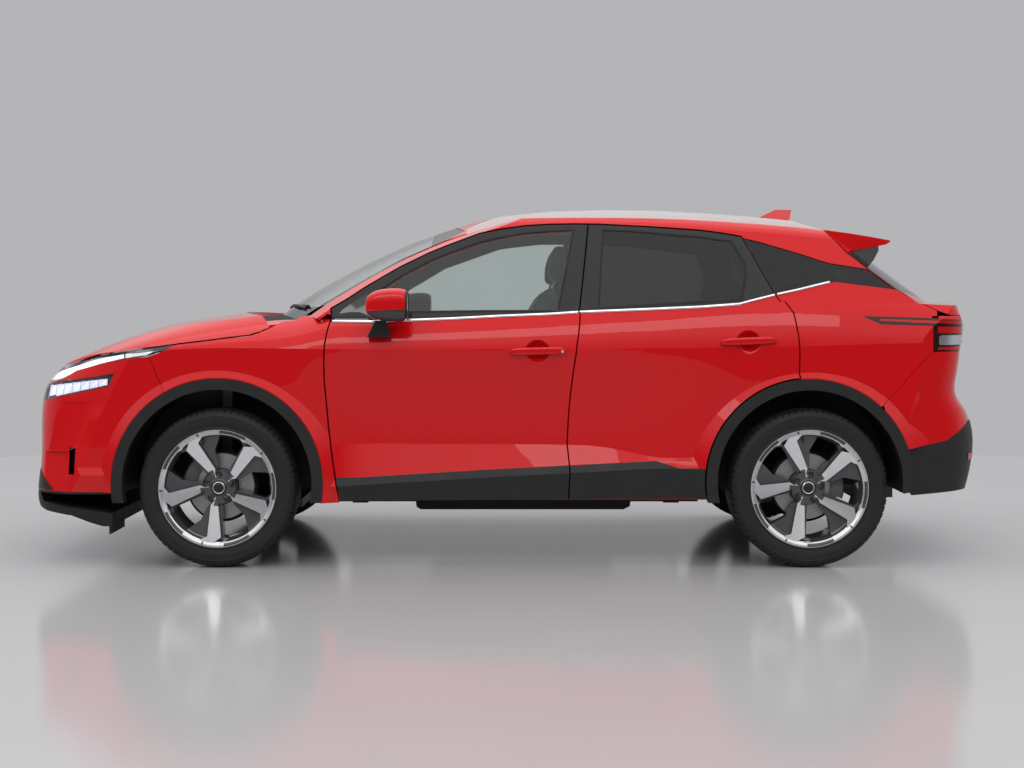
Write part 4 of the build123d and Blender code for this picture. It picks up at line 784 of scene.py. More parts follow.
def headlamp(label, side):
    tree = skin("headlamps")
    housing = patch(Form(), tree, spaced(UPPER_HOUSING, 0.03), 0.022, side)
    patch(housing, tree, spaced(LOWER_HOUSING, 0.03), 0.024, side)
    for low, high in ((.829, .890), (.746, .819)):
        end_patch(housing, tree, side, (0.636, 0.60, 0.55, 0.50, 0.446), low, high, 0.023, -1)
    housing.piece(f"lamp_housing_{label}", SATIN_BLACK, sharp=60)
    glow = patch(Form(), tree, spaced(DAY_BLADE, 0.02), 0.007, side)
    end_patch(glow, tree, side, (0.64, 0.60, 0.56, 0.52, 0.46), .834, .852, 0.007, -1)
    glow.piece(f"day_lamp_{label}", WHITE_LAMP, sharp=60)
    turn = patch(Form(), tree, spaced(TURN_BLADE, 0.02), 0.007, side)
    turn.piece(f"turn_lamp_{label}", PALE_LAMP, sharp=60)
    bowls, fins, lenses = Form(), Form(), Form()
    for i in range(BOWLS):
        x = -2.140 + BOWL_PITCH * i
        low, high = bowl_span(x, .776, .828)
        patch(bowls, tree, [(x, low, high), (x + 0.014, low + .003, high + .001),
                            (x + 0.028, low + .006, high + .002), (x + 0.043, low + .009, high + .004)],
              0.015, side)
        lamp_fin(fins, tree, x + 0.018, side)
    bowls.piece(f"lamp_bowls_{label}", BLUE_LAMP, sharp=60)
    fins.piece(f"lamp_fins_{label}", WHITE_LAMP, sharp=30)
    for y in (0.480, 0.535, 0.590):
        hit = from_end(tree, side * y, 0.783, -1)
        if hit:
            lenses.lathe(lambda u, v, out, p=hit[0]: (p.x + 0.021 - out, p.y + u, p.z + v),
                         LENS_PROFILE, 24)
    lenses.piece(f"lamp_lenses_{label}", REFLECTOR, sharp=40)


def tail_lamp(label, side):
    tree = skin("tail_lamps")
    housing = patch(Form(), tree, spaced(TAIL_ARROW, 0.03), 0.020, side)
    patch(housing, tree, spaced([(1.918, .976, 1.120), (2.090, .976, 1.114)], 0.02), 0.022, side, 6)
    end_patch(housing, tree, side, (0.72, 0.70, 0.68, 0.65), .976, 1.112, 0.022, 1, 6)
    housing.piece(f"tail_housing_{label}", SATIN_BLACK, sharp=60)
    bars = Form()
    for rows, depth in (([(1.672, 1.114, 1.124), (1.900, 1.104, 1.117), (2.090, 1.096, 1.110)], 0.006),
                        ([(1.944, 1.056, 1.086), (2.090, 1.054, 1.084)], 0.012),
                        ([(1.944, .980, .993), (2.090, .980, .993)], 0.010)):
        patch(bars, tree, spaced(rows, 0.02), depth, side)
    bars.piece(f"tail_light_bars_{label}", RED_LAMP, sharp=60)
    rows = spaced([(1.952, 1.004, 1.040), (1.965, 1.002, 1.046), (2.090, 1.002, 1.046)], 0.02)
    patch(Form(), tree, rows, 0.010, side).piece(f"reversing_lamp_{label}", REFLECTOR, sharp=60)
    tips = patch(Form(), tree, [(x, .975, 1.088) for x in (1.9165, 1.928, 1.940)], 0.001, side, 6)
    rows = spaced([(1.600, 1.129, 1.1325), (1.640, 1.110, 1.131), (1.660, 1.102, 1.130)], 0.02)
    patch(tips, tree, rows, 0.001, side)
    tips.piece(f"tail_lamp_tips_{label}", BLACK, sharp=60)
    rows = []
    for i in range(9):
        hit = from_side(tree, 1.945 + 0.125 * i / 8, 1.112, side)
        if hit:
            rows.append([hit[0] + Vector((0, -side * inwards, up)) for inwards, up in
                         ((0.001, 0.002), (0.004, 0.014), (0.010, 0.022))])
    Form().grid(rows).piece(f"tail_lamp_lid_{label}", PAINT, sharp=60)
    tree = skin("tailgate_lamps")
    rows = [(side * y, 1.018 + (0.63 - y) * .25, 1.104) for y in (.63, .58, .52, .46, .39)]
    back = patch(Form(), tree, rows, 0.018, 1, 4, from_end)
    back.piece(f"tailgate_lamp_housing_{label}", SATIN_BLACK, "tailgate", sharp=60)
    bars = end_patch(Form(), tree, side, (.63, .58, .52, .46, .40), 1.092, 1.102, 0.006, 1)
    end_patch(bars, tree, side, (.63, .58, .53, .50), 1.058, 1.080, 0.010, 1)
    bars.piece(f"tailgate_light_bars_{label}", RED_LAMP, "tailgate", sharp=60)


for label, side in SIDES:
    headlamp(label, side)
    tail_lamp(label, side)


# ------------------------------------------------------------------ nose and tail
def front_run(tree, z, limit, step=0.03):
    """Hits across the nose at a height, from -limit to limit, without jumps of more than 2 cm."""
    count = math.ceil(2 * limit / step)
    hits = []
    for i in range(count + 1):
        hit = from_end(tree, -limit + 2 * limit * i / count, z, -1)
        if hit and (not hits or abs(hit[0].x - hits[-1][0].x) <= 0.02):
            hits.append(hit)
    return hits


PLATE_Z, PLATE_BEVEL = 0.545, 0.0025
tree = skin("grille")
bars, posts = Form(), Form()
for i in range(9):
    z = 0.505 + 0.041 * i
    limit = 0.535 + (z - 0.47) * 0.42 if z < 0.6 else 0.575 - (z - 0.6) * 0.50
    strip(bars, front_run(tree, z, limit), 0.013, 0.007)
bars.piece("grille_bars", SATIN_BLACK)
for i in range(-6, 7):
    hits = [from_end(tree, 0.08 * i * (1.06 if z < 0.7 else 0.98), z, -1)
            for z in (0.50, 0.55, 0.60, 0.65, 0.70, 0.75, 0.80, 0.83)]
    strip(posts, hits, 0.007, 0.004)
posts.piece("grille_posts", BLACK)
strip(Form(), front_run(tree, 0.856, 0.395), 0.012, 0.008).piece("grille_top_strip", CHROME)
face_x = from_end(tree, 0, PLATE_Z, -1)[0].x
block("front_plate", PLATE, (face_x - 0.010, 0, PLATE_Z), (0.006, 0.520, 0.112), PLATE_BEVEL, sharp=30)
block("front_plate_holder", SATIN_BLACK, (face_x - 0.003, 0, PLATE_Z), (0.014, 0.532, 0.124), 0.004,
      sharp=30)

# the lower intake is a sheet on the bumper that goes straight on where the bumper turns away
INTAKE_Z, INTAKE_HEIGHT, INTAKE_HALF, INTAKE_STEPS = 0.343, 0.109, 0.70, 56
tree = skin("bumper_front")
rows = []
for i in range(INTAKE_STEPS + 1):
    y = -INTAKE_HALF + 2 * INTAKE_HALF * i / INTAKE_STEPS
    height = INTAKE_HEIGHT - max(0.0, abs(y) - 0.52) * 0.62
    hits = [from_end(tree, y, INTAKE_Z + height * j / 4, -1) for j in range(5)]
    rows.append([h[0] + h[1] * 0.002 if h else None for h in hits])
for i, line in enumerate(rows):
    for j, point in enumerate(line):
        near = min(r[j].x for r in rows[max(0, i - 2):i + 3] if r[j])
        if point is None or abs(point.x - near) > 0.03:
            y = -INTAKE_HALF + 2 * INTAKE_HALF * i / INTAKE_STEPS
            line[j] = Vector((near, y, INTAKE_Z + INTAKE_HEIGHT * j / 4))
Form().grid(rows).piece("lower_intake", SATIN_BLACK, sharp=50)
slats = Form()
for z in (0.375, 0.405, 0.432):
    middles = [line[2] for line in rows[6:-6]]
    strip(slats, [(Vector((p.x - 0.001, p.y, z)), Vector((-1, 0, 0))) for p in middles], 0.009, 0.006)
slats.piece("lower_intake_slats", BLACK)
for label, side in SIDES:
    rows = spaced([(-2.172, .344, .440), (-2.150, .344, .420), (-2.110, .344, .378),
                   (-2.080, .344, .352)], 0.01)
    corner = patch(Form(), tree, rows, -0.0025, side, 4)
    corner.piece(f"intake_corner_{label}", SATIN_BLACK, sharp=50)
hits = front_run(skin("bumper_front", "cladding_front"), 0.352, 0.655, 0.04)
skid = strip(Form(), [(p + n * 0.002, n) for p, n in hits], 0.020, 0.005)
skid.piece("front_skid_strip", SILVER)

tree = skin("cladding_rear")
SKID_HALF = 0.52
rows = []
for i in range(29):
    y = SKID_HALF * (i / 14 - 1)
    low = 0.400 + 0.03 * (y / SKID_HALF) ** 2
    line = [from_end(tree, y, low + (0.535 - low) * j / 5, 1) for j in range(6)]
    if all(line):
        rows.append([h[0] + h[1] * (0.004 if 0 < j < 5 and 0 < i < 28 else 0.0005)
                     for j, h in enumerate(line)])
Form().grid(rows).piece("rear_skid_plate", SILVER)
pads = Form()
for side in (-1, 1):
    end_patch(pads, tree, side, [0.60 + 0.02 * i for i in range(7)], 0.470, 0.500, -0.003, 1, 2)
# the faint red glow on these reflector pads is a painted glow
pads.piece("rear_reflectors", RED_REFLECTOR_PAINTED_GLOW, sharp=50)


# ------------------------------------------------------------------ wipers, mirrors, plate, small parts
WIPER_BLADE = [(-0.009, -0.002), (0.004, -0.004), (0.009, 0), (0.004, 0.004), (-0.009, 0.002)]
WIPER_ARM = [(-0.004, -0.008), (0.004, -0.006), (0.004, 0.006), (-0.004, 0.008)]
WIPER_PIVOT = [(-0.022, 0.0), (-0.022, 0.011), (0.000, 0.010), (0.003, 0.007), (0.004, 0.0)]
wipers = Form()
tree = skin("windscreen", "cowl")
for pivot_y, tip_y in ((-0.600, -0.010), (0.010, 0.560)):
    ys = [pivot_y + (tip_y - pivot_y) * i / 12 for i in range(13)]
    hits = [h for h in (from_top(tree, -1.090 + 0.41 * y * y, y) for y in ys) if h]
    if len(hits) <= 4:
        continue
    blade = [h[0] + Vector((0, 0, 0.006)) for h in hits]
    wipers.sweep(blade, WIPER_BLADE, (-0.45, 0, 0.9))
    middle, base = blade[len(blade) // 2], blade[0] + Vector((-0.024, 0.03, -0.004))
    bend = (base + middle) * 0.5 + Vector((-0.010, 0, 0.006))
    wipers.sweep([base, bend, middle + Vector((0, 0, 0.003))], WIPER_ARM, (-0.4, 0, 0.9))
    wipers.lathe(upright(*base), WIPER_PIVOT, 20)
wipers.piece("front_wipers", SATIN_BLACK)

REAR_BLADE = [(-0.009, -0.002), (0.005, -0.004), (0.009, 0), (0.005, 0.004), (-0.009, 0.002)]
REAR_ARM = [(-0.004, -0.009), (0.005, -0.006), (0.005, 0.006), (-0.004, 0.009)]
REAR_PIVOT = [(0.0, 0.0), (0.0, 0.028), (0.014, 0.026), (0.022, 0.018), (0.024, 0.0)]
PIVOT_Z = 1.235
tree = skin("tailgate", "tailgate_glass")
hits = [from_end(tree, y, 1.262 + 0.01 * y, 1) for y in (0.0, 0.06, 0.12, 0.18, 0.24, 0.30, 0.34)]
hits = [h for h in hits if h]
blade = lifted(hits, 0.012)
foot = from_end(tree, 0.0, PIVOT_Z, 1)[0]
rear_wiper = Form().sweep(blade, REAR_BLADE, [n for p, n in hits])
rear_wiper.lathe(lambda u, v, out: (foot.x + out, u, PIVOT_Z + v), REAR_PIVOT, 28)
rear_wiper.sweep([foot + Vector((0.020, 0, 0)), blade[2] + Vector((0.012, 0, -0.004)),
                  blade[3] + Vector((0.006, 0, 0))], REAR_ARM, (1, 0, 0.3))
rear_wiper.piece("rear_wiper", SATIN_BLACK, "tailgate")

MIRROR_X, MIRROR_Y, MIRROR_Z = -0.4585, 0.9605, 1.184
MIRROR_RIM = [(-0.009, -0.003), (0.0015, -0.004), (0.003, 0), (0.0015, 0.004), (-0.009, 0.003)]
MIRROR_SAIL = [(-0.801, 1.117), (-0.760, 1.163), (-0.700, 1.205), (-0.652, 1.236), (-0.6435, 1.150),
               (-0.6435, 1.117)]


def mirror(label, side):
    """Glass, rim, parting line and black corner of a door mirror."""
    door = f"door_front_{label}"
    rows = []
    for i in range(9):
        row = []
        for j in range(9):
            a, b = -1 + i / 4, -1 + j / 4
            across, up = a * math.sqrt(1 - b * b / 2.6), b * math.sqrt(1 - a * a / 2.6)
            row.append((MIRROR_X, side * (MIRROR_Y + 0.060 * across), MIRROR_Z + 0.056 * up))
        rows.append(row)
    edge = [row[0] for row in rows] + rows[8][1:] + [row[8] for row in rows[7::-1]] + rows[0][7:0:-1]
    back = Form().grid(rows).grid([[(x - 0.008, y, z) for x, y, z in edge], edge], round_points=True)
    back.piece(f"mirror_glass_{label}", MIRROR, door, sharp=30)
    centre = Vector((MIRROR_X - 0.0015, side * MIRROR_Y, MIRROR_Z))
    ring = [Vector(p) + (Vector(p) - centre).normalized() * 0.004 for p in edge]
    rim = Form().sweep(ring, MIRROR_RIM, (1, 0, 0), closed=True)
    rim.piece(f"mirror_rim_{label}", SATIN_BLACK, door, sharp=60)
    tree = skin(f"mirror_{label}", f"mirror_cap_{label}")
    hits = [from_side(tree, x, 1.1535 + (x + 0.6395) * 0.060, side)
            for x in (-0.625, -0.610, -0.59, -0.565, -0.54, -0.515, -0.49, -0.475)]
    strip(Form(), hits, 0.0045, 0.0012).piece(f"mirror_line_{label}", SATIN_BLACK, door, sharp=60)
    tree = skin(door, f"trim_front_{label}", f"glass_front_{label}")
    hits = [from_side(tree, x, z, side) for x, z in MIRROR_SAIL]
    if all(hits):
        middle = sum(lifted(hits, 0.0045), Vector()) / len(hits)
        sail = Form().grid([lifted(hits, 0.0005), lifted(hits, 0.003), [middle] * len(hits)],
                           round_points=True)
        sail.piece(f"mirror_sail_{label}", BLACK, door, sharp=50)


for label, side in SIDES:
    mirror(label, side)

tree = skin("tailgate")
face_x = from_end(tree, 0.0, 0.930, 1)[0].x
block("rear_plate", PLATE, (face_x + 0.0045, 0, 0.930), (0.006, 0.512, 0.108), PLATE_BEVEL, "tailgate", 30)
lights = Form()
for y in (-0.12, 0.12):
    lights.box((face_x + 0.010, y, 0.9835), (0.014, 0.036, 0.005), 0.0015)
lights.piece("plate_lights", WHITE_LAMP, "tailgate", sharp=30)
hits = [from_end(tree, y, 1.006, 1) for y in (-0.30, -0.26, -0.18, -0.09, 0, 0.09, 0.18, 0.26, 0.30)]
strip(Form(), hits, 0.020, 0.012).piece("tailgate_handle_bar", BLACK, "tailgate", sharp=40)
hits = [from_end(tree, y, 1.492, 1) for y in (-0.16, -0.10, -0.04, 0.04, 0.10, 0.16)]
strip(Form(), hits, 0.012, 0.003).piece("high_stop_lamp", RED_LAMP, "tailgate", sharp=50)

FLAP_X, FLAP_Z, FLAP_HALF = 1.555, 0.985, 0.078
FLAP_GAP = [(-0.001, -0.0014), (0.0006, -0.0014), (0.0006, 0.0014), (-0.001, 0.0014)]
tree = skin("side_frames", "bumper_rear")
corners = [(power(math.cos(a + math.pi / 36), 0.5), power(math.sin(a + math.pi / 36), 0.5))
           for a in turns(36)]
hits = [from_side(tree, FLAP_X + FLAP_HALF * c, FLAP_Z + FLAP_HALF * s, 1) for c, s in corners]
if all(hits):
    flap = Form().sweep([h[0] for h in hits], FLAP_GAP, [h[1] for h in hits], closed=True)
    flap.piece("fuel_flap_gap", SEAL, sharp=60)

exhaust = Form().tube([(0.35, 0.28, 0.262), (1.0, 0.28, 0.262), (1.28, 0.34, 0.250),
                       (1.62, 0.36, 0.262)], 0.026, sides=14)
exhaust.box((1.80, 0.10, 0.292), (0.30, 0.62, 0.125), 0.05, segments=4)
exhaust.tube([(1.93, 0.36, 0.262), (1.99, 0.44, 0.272), (2.045, 0.46, 0.268)], 0.024, sides=14)
exhaust.piece("exhaust", CAST, sharp=40)

rail_feet = Form()
tree = skin("roof_panel", "side_frames")
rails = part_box("roof_rails")
for side in (-1, 1):
    for x in (rails[0][0] + 0.120, rails[1][0] - 0.200):
        hit = from_top(tree, x, side * (rails[1][1] - 0.020))
        if hit:
            rail_feet.box((x, hit[0].y, hit[0].z + 0.007), (0.11, 0.026, 0.014), 0.005, segments=3)
rail_feet.piece("roof_rail_feet", SATIN_BLACK, sharp=40)


def door_grip(end, label, side, x0, z0, rise):
    """Bar of a door handle; rise is its slope in degrees."""
    rows = []
    for i in range(25):
        t = i / 12 - 1
        z = z0 + 0.125 * t * math.tan(math.radians(rise))
        high = 0.0155 * (1 - abs(t) ** 5) ** 0.5 + 0.001
        deep = 0.0062 * (1 - abs(t) ** 6) ** 0.5
        row = []
        for a in turns(16):
            u, v = math.cos(a), math.sin(a)
            out = deep * abs(u) ** 0.7 * (1 if u > 0 else -0.3)
            row.append((x0 + 0.1275 * t, side * (0.9173 + out), z + high * power(v, 0.8)))
        rows.append(row)
    grip = Form().grid(rows, round_points=True, caps=True)
    grip.piece(f"door_grip_{end}_{label}", PAINT, f"door_{end}_{label}", sharp=60)


# black blades beside the tailgate glass, under the spoiler's ends: (x, low, high)
SPOILER_BLADE = ((1.600, 1.424, 1.437), (1.640, 1.386, 1.447), (1.680, 1.364, 1.457),
                 (1.710, 1.398, 1.464), (1.735, 1.442, 1.470))
for label, side in SIDES:
    door_grip("front", label, side, 0.1235, 0.977, 1.5)
    door_grip("rear", label, side, 1.0715, 1.022, 2.5)
    rows = []
    for x, low, high in SPOILER_BLADE:
        outer = 0.561 + 0.030 * (high - low) / 0.09
        rows.append([(x, side * outer, low), (x, side * 0.561, high), (x, side * 0.553, high),
                     (x, side * (outer - 0.008), low)])
    blade = Form().grid(rows, round_points=True, caps=True)
    blade.piece(f"spoiler_blade_{label}", SATIN_BLACK, "tailgate", sharp=40)


# ------------------------------------------------------------------ cabin
def cushion(line, centre_y, bolster=0.0, channels=(), steps=30, sides=44):
    """Crowned closed pad along a line of (x, z, half width, front, back); front is towards the nose."""
    lengths = [0.0]
    for a, b in zip(line, line[1:]):
        lengths.append(lengths[-1] + math.hypot(b[0] - a[0], b[1] - a[1]))
    rows = []
    for i in range(steps + 1):
        t = 0.5 - 0.5 * math.cos(math.pi * i / steps)
        at = t * lengths[-1]
        k = max(j for j in range(len(line) - 1) if lengths[j] <= at + 1e-9)
        f = (at - lengths[k]) / (lengths[k + 1] - lengths[k])
        x, z, wide, front, back = (a + (b - a) * f for a, b in zip(line[k], line[k + 1]))
        way = Vector((line[k + 1][0] - line[k][0], 0, line[k + 1][1] - line[k][1])).normalized()
        normal = Vector((-way.z, 0, way.x))
        end = abs(2 * t - 1)
        full = (1 - end ** 7) ** 0.5 if end < 1 else 0.0
        slim = (1 - end ** 9) ** 0.30 if end < 1 else 0.0
        row = []
        for turn in turns(sides):
            u, v = power(math.cos(turn), 0.62), power(math.sin(turn), 0.62)
            depth = (front if v > 0 else back) * v * full
            if v > 0:
                share = abs(u)
                hump = max(0.0, min(1.0, (share - 0.50) / 0.22)) * max(0.0, min(1.0, (1 - share) / 0.10))
                depth += bolster * hump * hump * (3 - 2 * hump) * full
                depth -= sum(0.007 * math.exp(-((u - spot) / 0.022) ** 2) for spot in channels) * full
            row.append(Vector((x, centre_y + wide * u * slim, z)) + normal * depth)
        rows.append(row)
    return Form().grid(rows, round_points=True)


def soft(name, form):
    obj = form.piece(name, COVER, slot="seat_cloth", sharp=70, levels=1, replaces=("seats",))


FRONT_CUSHION = [(-0.520, 0.500, 0.232, 0.075, 0.075), (-0.470, 0.505, 0.250, 0.095, 0.115),
                 (-0.250, 0.490, 0.255, 0.088, 0.125), (-0.020, 0.470, 0.250, 0.085, 0.105)]
FRONT_BACK = [(-0.085, 0.560, 0.225, 0.055, 0.055), (-0.040, 0.660, 0.238, 0.060, 0.060),
              (0.090, 0.960, 0.242, 0.062, 0.058), (0.160, 1.130, 0.225, 0.055, 0.050),
              (0.212, 1.262, 0.165, 0.040, 0.038)]
FRONT_HEADREST = [(0.212, 1.292, 0.110, 0.036, 0.034), (0.228, 1.380, 0.130, 0.046, 0.040),
                  (0.242, 1.468, 0.108, 0.034, 0.032)]
REAR_CUSHION = [(0.520, 0.440, 0.620, 0.080, 0.080), (0.580, 0.448, 0.640, 0.095, 0.110),
                (0.750, 0.440, 0.640, 0.090, 0.105), (0.905, 0.430, 0.635, 0.080, 0.090)]
REAR_BACK = [(0.905, 0.520, 0.435, 0.045, 0.040), (0.960, 0.660, 0.450, 0.055, 0.048),
             (1.080, 0.960, 0.450, 0.052, 0.048), (1.155, 1.170, 0.430, 0.042, 0.038)]
REAR_HEADREST = [(1.155, 1.195, 0.100, 0.028, 0.026), (1.170, 1.250, 0.120, 0.034, 0.032),
                 (1.182, 1.306, 0.104, 0.028, 0.026)]
REAR_SEAT_Y = 0.30
for label, side in SIDES:
    y = side * SEAT_Y
    soft(f"seat_cushion_{label}", cushion(FRONT_CUSHION, y, 0.020, (-0.55, 0.55, -0.18, 0.18)))
    soft(f"seat_back_{label}", cushion(FRONT_BACK, y, 0.030, (-0.55, 0.55)))
    soft(f"headrest_{label}", cushion(FRONT_HEADREST, y, steps=22, sides=36))
soft("rear_cushion", cushion(REAR_CUSHION, 0.0, 0.0, (-0.33, 0.33, -0.62, 0.62), sides=84))
soft("rear_back", cushion(REAR_BACK, 0.0, 0.0, (-0.36, 0.36), sides=72))
for label, side in SIDES:
    headrest = cushion(REAR_HEADREST, side * REAR_SEAT_Y, steps=20, sides=32)
    soft(f"rear_headrest_{label}", headrest)

posts, rails, shields = Form(), Form(), Form()
for y in (-SEAT_Y, SEAT_Y):
    for side in (-1, 1):
        post_y = y + side * 0.055
        posts.tube([(0.196, post_y, 1.235), (0.222, post_y, 1.330)], 0.0055)
        rail_y = y + side * 0.19
        rails.box((-0.245, rail_y, 0.338), (0.60, 0.036, 0.026), 0.004)
        for x in (-0.47, -0.03):
            rails.box((x, rail_y, 0.375), (0.05, 0.024, 0.060), 0.004)
        shields.box((-0.20, y + side * 0.262, 0.452), (0.42, 0.012, 0.085), 0.005)
    rails.box((-0.245, y, 0.385), (0.40, 0.40, 0.018), 0.006)
for y in (-REAR_SEAT_Y, REAR_SEAT_Y):
    for post_y in (y - 0.045, y + 0.045):
        posts.tube([(1.150, post_y, 1.150), (1.162, post_y, 1.215)], 0.0050)
posts.piece("headrest_posts", STEEL, sharp=60)
rails.piece("seat_rails", DARK_METAL)
shields.piece("seat_shields", CABIN)

HELM = Vector((-0.4795, -SEAT_Y, 0.960))
HELM_TURN = Matrix.Rotation(math.radians(64), 3, "Y")
HELM_HUB = [(0.0, 0.0), (-0.012, 0.060), (0.012, 0.066), (0.026, 0.058), (0.031, 0.038), (0.032, 0.0)]


def at_helm(u, v, out):
    """u up the wheel's face, v across, out towards the driver."""
    return HELM + HELM_TURN @ Vector((-u, v, out))


rows = []
for a in turns(72):
    row = []
    for b in turns(14):
        r = 0.180 + 0.0165 * math.cos(b) * (1.0 + 0.06 * math.cos(4 * a))
        row.append(at_helm(r * math.sin(a), r * math.cos(a), 0.0168 * math.sin(b)))
    rows.append(row)
grip = Form().grid(rows, round_rows=True, round_points=True)
grip.piece("helm_grip", LEATHER, "steering_wheel", sharp=70)
hub, keys = Form().lathe(at_helm, HELM_HUB, 40), Form()
for side in (-1, 1):
    hub.box(at_helm(0, side * 0.118, 0.011), (0.030, 0.105, 0.016), 0.005, HELM_TURN, 3)
    keys.box(at_helm(0, side * 0.092, 0.020), (0.022, 0.040, 0.006), 0.002, HELM_TURN)
hub.piece("helm_hub", CABIN, "steering_wheel", sharp=45)
keys.piece("helm_keys", BLACK, "steering_wheel")

# outline of the hood over the instruments: (x, wider, higher)
HOOD = ((-0.80, -0.02, -0.030), (-0.74, 0.0, -0.004), (-0.655, 0.004, 0.0), (-0.650, 0.0, -0.004),
        (-0.655, -0.012, -0.014), (-0.70, -0.016, -0.018))
tree = skin("dashboard")
hit = from_top(tree, -0.70, -SEAT_Y)
top = hit[0].z if hit else 1.08
rows = []
for a in turns(28)[:15]:
    rows.append([(x, -SEAT_Y + (0.155 + wider) * math.cos(a), top - 0.012 + (0.052 + higher) * math.sin(a))
                 for x, wider, higher in HOOD])
Form().grid(rows).piece("instrument_hood", CABIN, sharp=50)
screens = Form().box((-0.668, 0.0, top + 0.028), (0.012, 0.290, 0.128), 0.004)
screens.box((-0.690, -SEAT_Y, top + 0.006), (0.008, 0.270, 0.060), 0.003)
screens.piece("display_screens", BLACK)
VENT_Z = 0.985
vents, vanes = Form(), Form()
for y in (-0.635, -0.115, 0.115, 0.635):
    hit = cast(tree, (0.0, y, VENT_Z), (-1, 0, 0))
    if hit:
        x = hit[0].x
        vents.box((x + 0.004, y, VENT_Z), (0.014, 0.130, 0.056), 0.006)
        for k in range(4):
            vanes.box((x + 0.0125, y, VENT_Z - 0.019 + 0.0125 * k), (0.006, 0.112, 0.0035), 0.001)
vents.piece("air_vents", SATIN_BLACK)
vanes.piece("air_vanes", SILVER)

LEVER_X = -0.36
LEVER = [(0.0, 0.0), (0.0, 0.042), (0.010, 0.038), (0.030, 0.018), (0.060, 0.011), (0.075, 0.020),
         (0.100, 0.026), (0.118, 0.022), (0.124, 0.0)]
hit = from_top(tree, LEVER_X, 0.0)
base = hit[0].z if hit else 0.62
lever = Form().lathe(lambda u, v, out: (LEVER_X + u - 0.12 * out, v, base + out), LEVER, 28)
lever.box((-0.05, 0.0, base + 0.020), (0.30, 0.170, 0.052), 0.018, segments=4)
lever.piece("gear_lever_and_armrest", LEATHER, sharp=50)
block("console_tray", BLACK, (LEVER_X, 0.0, base + 0.003), (0.24, 0.150, 0.006), 0.002)
pedals = Form()
for y, wide in ((-0.30, 0.045), (-0.40, 0.080)):
    pedals.box((-0.785, y, 0.470), (0.012, wide, 0.110), 0.003, Matrix.Rotation(math.radians(-25), 3, "Y"))
    pedals.tube([(-0.785, y, 0.500), (-0.82, y, 0.62), (-0.84, y, 0.74)], 0.009, sides=8)
pedals.piece("pedals", DARK_METAL, sharp=40)

CARD_COLUMNS, CARD_ROWS, CARD_TOP = 24, 14, 1.085
SPEAKER = [(0.006, 0.0), (0.006, 0.078), (0.013, 0.078), (0.016, 0.072), (0.013, 0.066), (0.012, 0.0)]


def door_card(tree, low, high, side):
    """Lining of a door between two X values, with a raised middle and an armrest ledge."""
    rows = []
    for i in range(CARD_COLUMNS + 1):
        x = low + (high - low) * i / CARD_COLUMNS
        foot = 0.47 + 0.05 * abs(2 * i / CARD_COLUMNS - 1) ** 4
        hits = [from_inside(tree, x, foot + (CARD_TOP - foot) * j / CARD_ROWS, side)
                for j in range(CARD_ROWS + 1)]
        if all(hits):
            row = []
            for j, (point, normal) in enumerate(hits):
                rise = (0.0, 0.006, 0.010)[min(i, CARD_COLUMNS - i, j, CARD_ROWS - j, 2)]
                if 6 <= j <= 8 and 3 < i < 21:
                    rise += 0.020
                row.append(point - Vector((0, side * rise, 0)))
            rows.append(row)
    return Form().grid(rows)


for end, low, high in (("front", -0.66, 0.16), ("rear", 0.44, 0.86)):
    for label, side in SIDES:
        door, middle = f"door_{end}_{label}", (low + high) / 2
        tree = skin(door, f"trim_{end}_{label}")
        card = door_card(tree, low, high, side)
        card.piece(f"door_card_{end}_{label}", CABIN, door, sharp=60, levels=1)
        hits = [from_inside(tree, x, z, side) for x, z in ((middle, 0.800), (middle - 0.15, 0.600))]
        if not all(hits):
            continue
        face, spot = hits[0][0].y, hits[1][0]
        block(f"door_armrest_{end}_{label}", LEATHER, (middle + 0.06, face - side * 0.036, 0.800),
              (0.30, 0.050, 0.046), 0.018, door, 50, 4)
        block(f"door_pull_{end}_{label}", CHROME, (middle - 0.16, face - side * 0.020, 0.925),
              (0.090, 0.012, 0.026), 0.005, door, 50, 3)
        speaker = Form().lathe(lambda u, v, out: (spot.x + u, spot.y - side * out, spot.z + v), SPEAKER, 40)
        speaker.piece(f"door_speaker_{end}_{label}", SATIN_BLACK, door, sharp=40)


# ------------------------------------------------------------------ under the bonnet and in the boot
ENGINE_X, ENGINE_Z = FRONT_X - 0.132, 0.900
engine = Form().box((ENGINE_X, 0.02, ENGINE_Z + 0.012), (0.400, 0.520, 0.034), 0.014, segments=4)
for k in range(7):
    engine.box((ENGINE_X, -0.16 + 0.06 * k, ENGINE_Z + 0.031), (0.330, 0.018, 0.010), 0.004, segments=3)
engine.box((ENGINE_X - 0.170, -0.10, ENGINE_Z - 0.09), (0.10, 0.36, 0.12), 0.030, segments=4)
engine.piece("engine_cover", CABIN, sharp=40)
intake = Form().tube([(ENGINE_X - 0.20, -0.06, ENGINE_Z - 0.03), (ENGINE_X - 0.25, -0.20, ENGINE_Z - 0.01),
                      (ENGINE_X - 0.20, -0.34, ENGINE_Z - 0.02), (ENGINE_X - 0.05, -0.42, ENGINE_Z - 0.05)],
                     0.034, (0, 0, 1), 16)
for k in range(5):
    ring = Vector((ENGINE_X - 0.235 + 0.004 * k * k, -0.18 - 0.028 * k, ENGINE_Z - 0.012))
    intake.tube([ring, ring + Vector((0.003, -0.008, 0))], 0.039, (0, 0, 1), 16)
intake.piece("intake_duct", SEAL, sharp=40)
boxes = Form().box((FRONT_X - 0.10, -0.445, 0.800), (0.24, 0.150, 0.160), 0.018, segments=4)
boxes.box((FRONT_X - 0.10, -0.445, 0.886), (0.20, 0.110, 0.024), 0.008, segments=3)
boxes.box((FRONT_X - 0.19, 0.440, 0.790), (0.20, 0.140, 0.190), 0.008, segments=3)
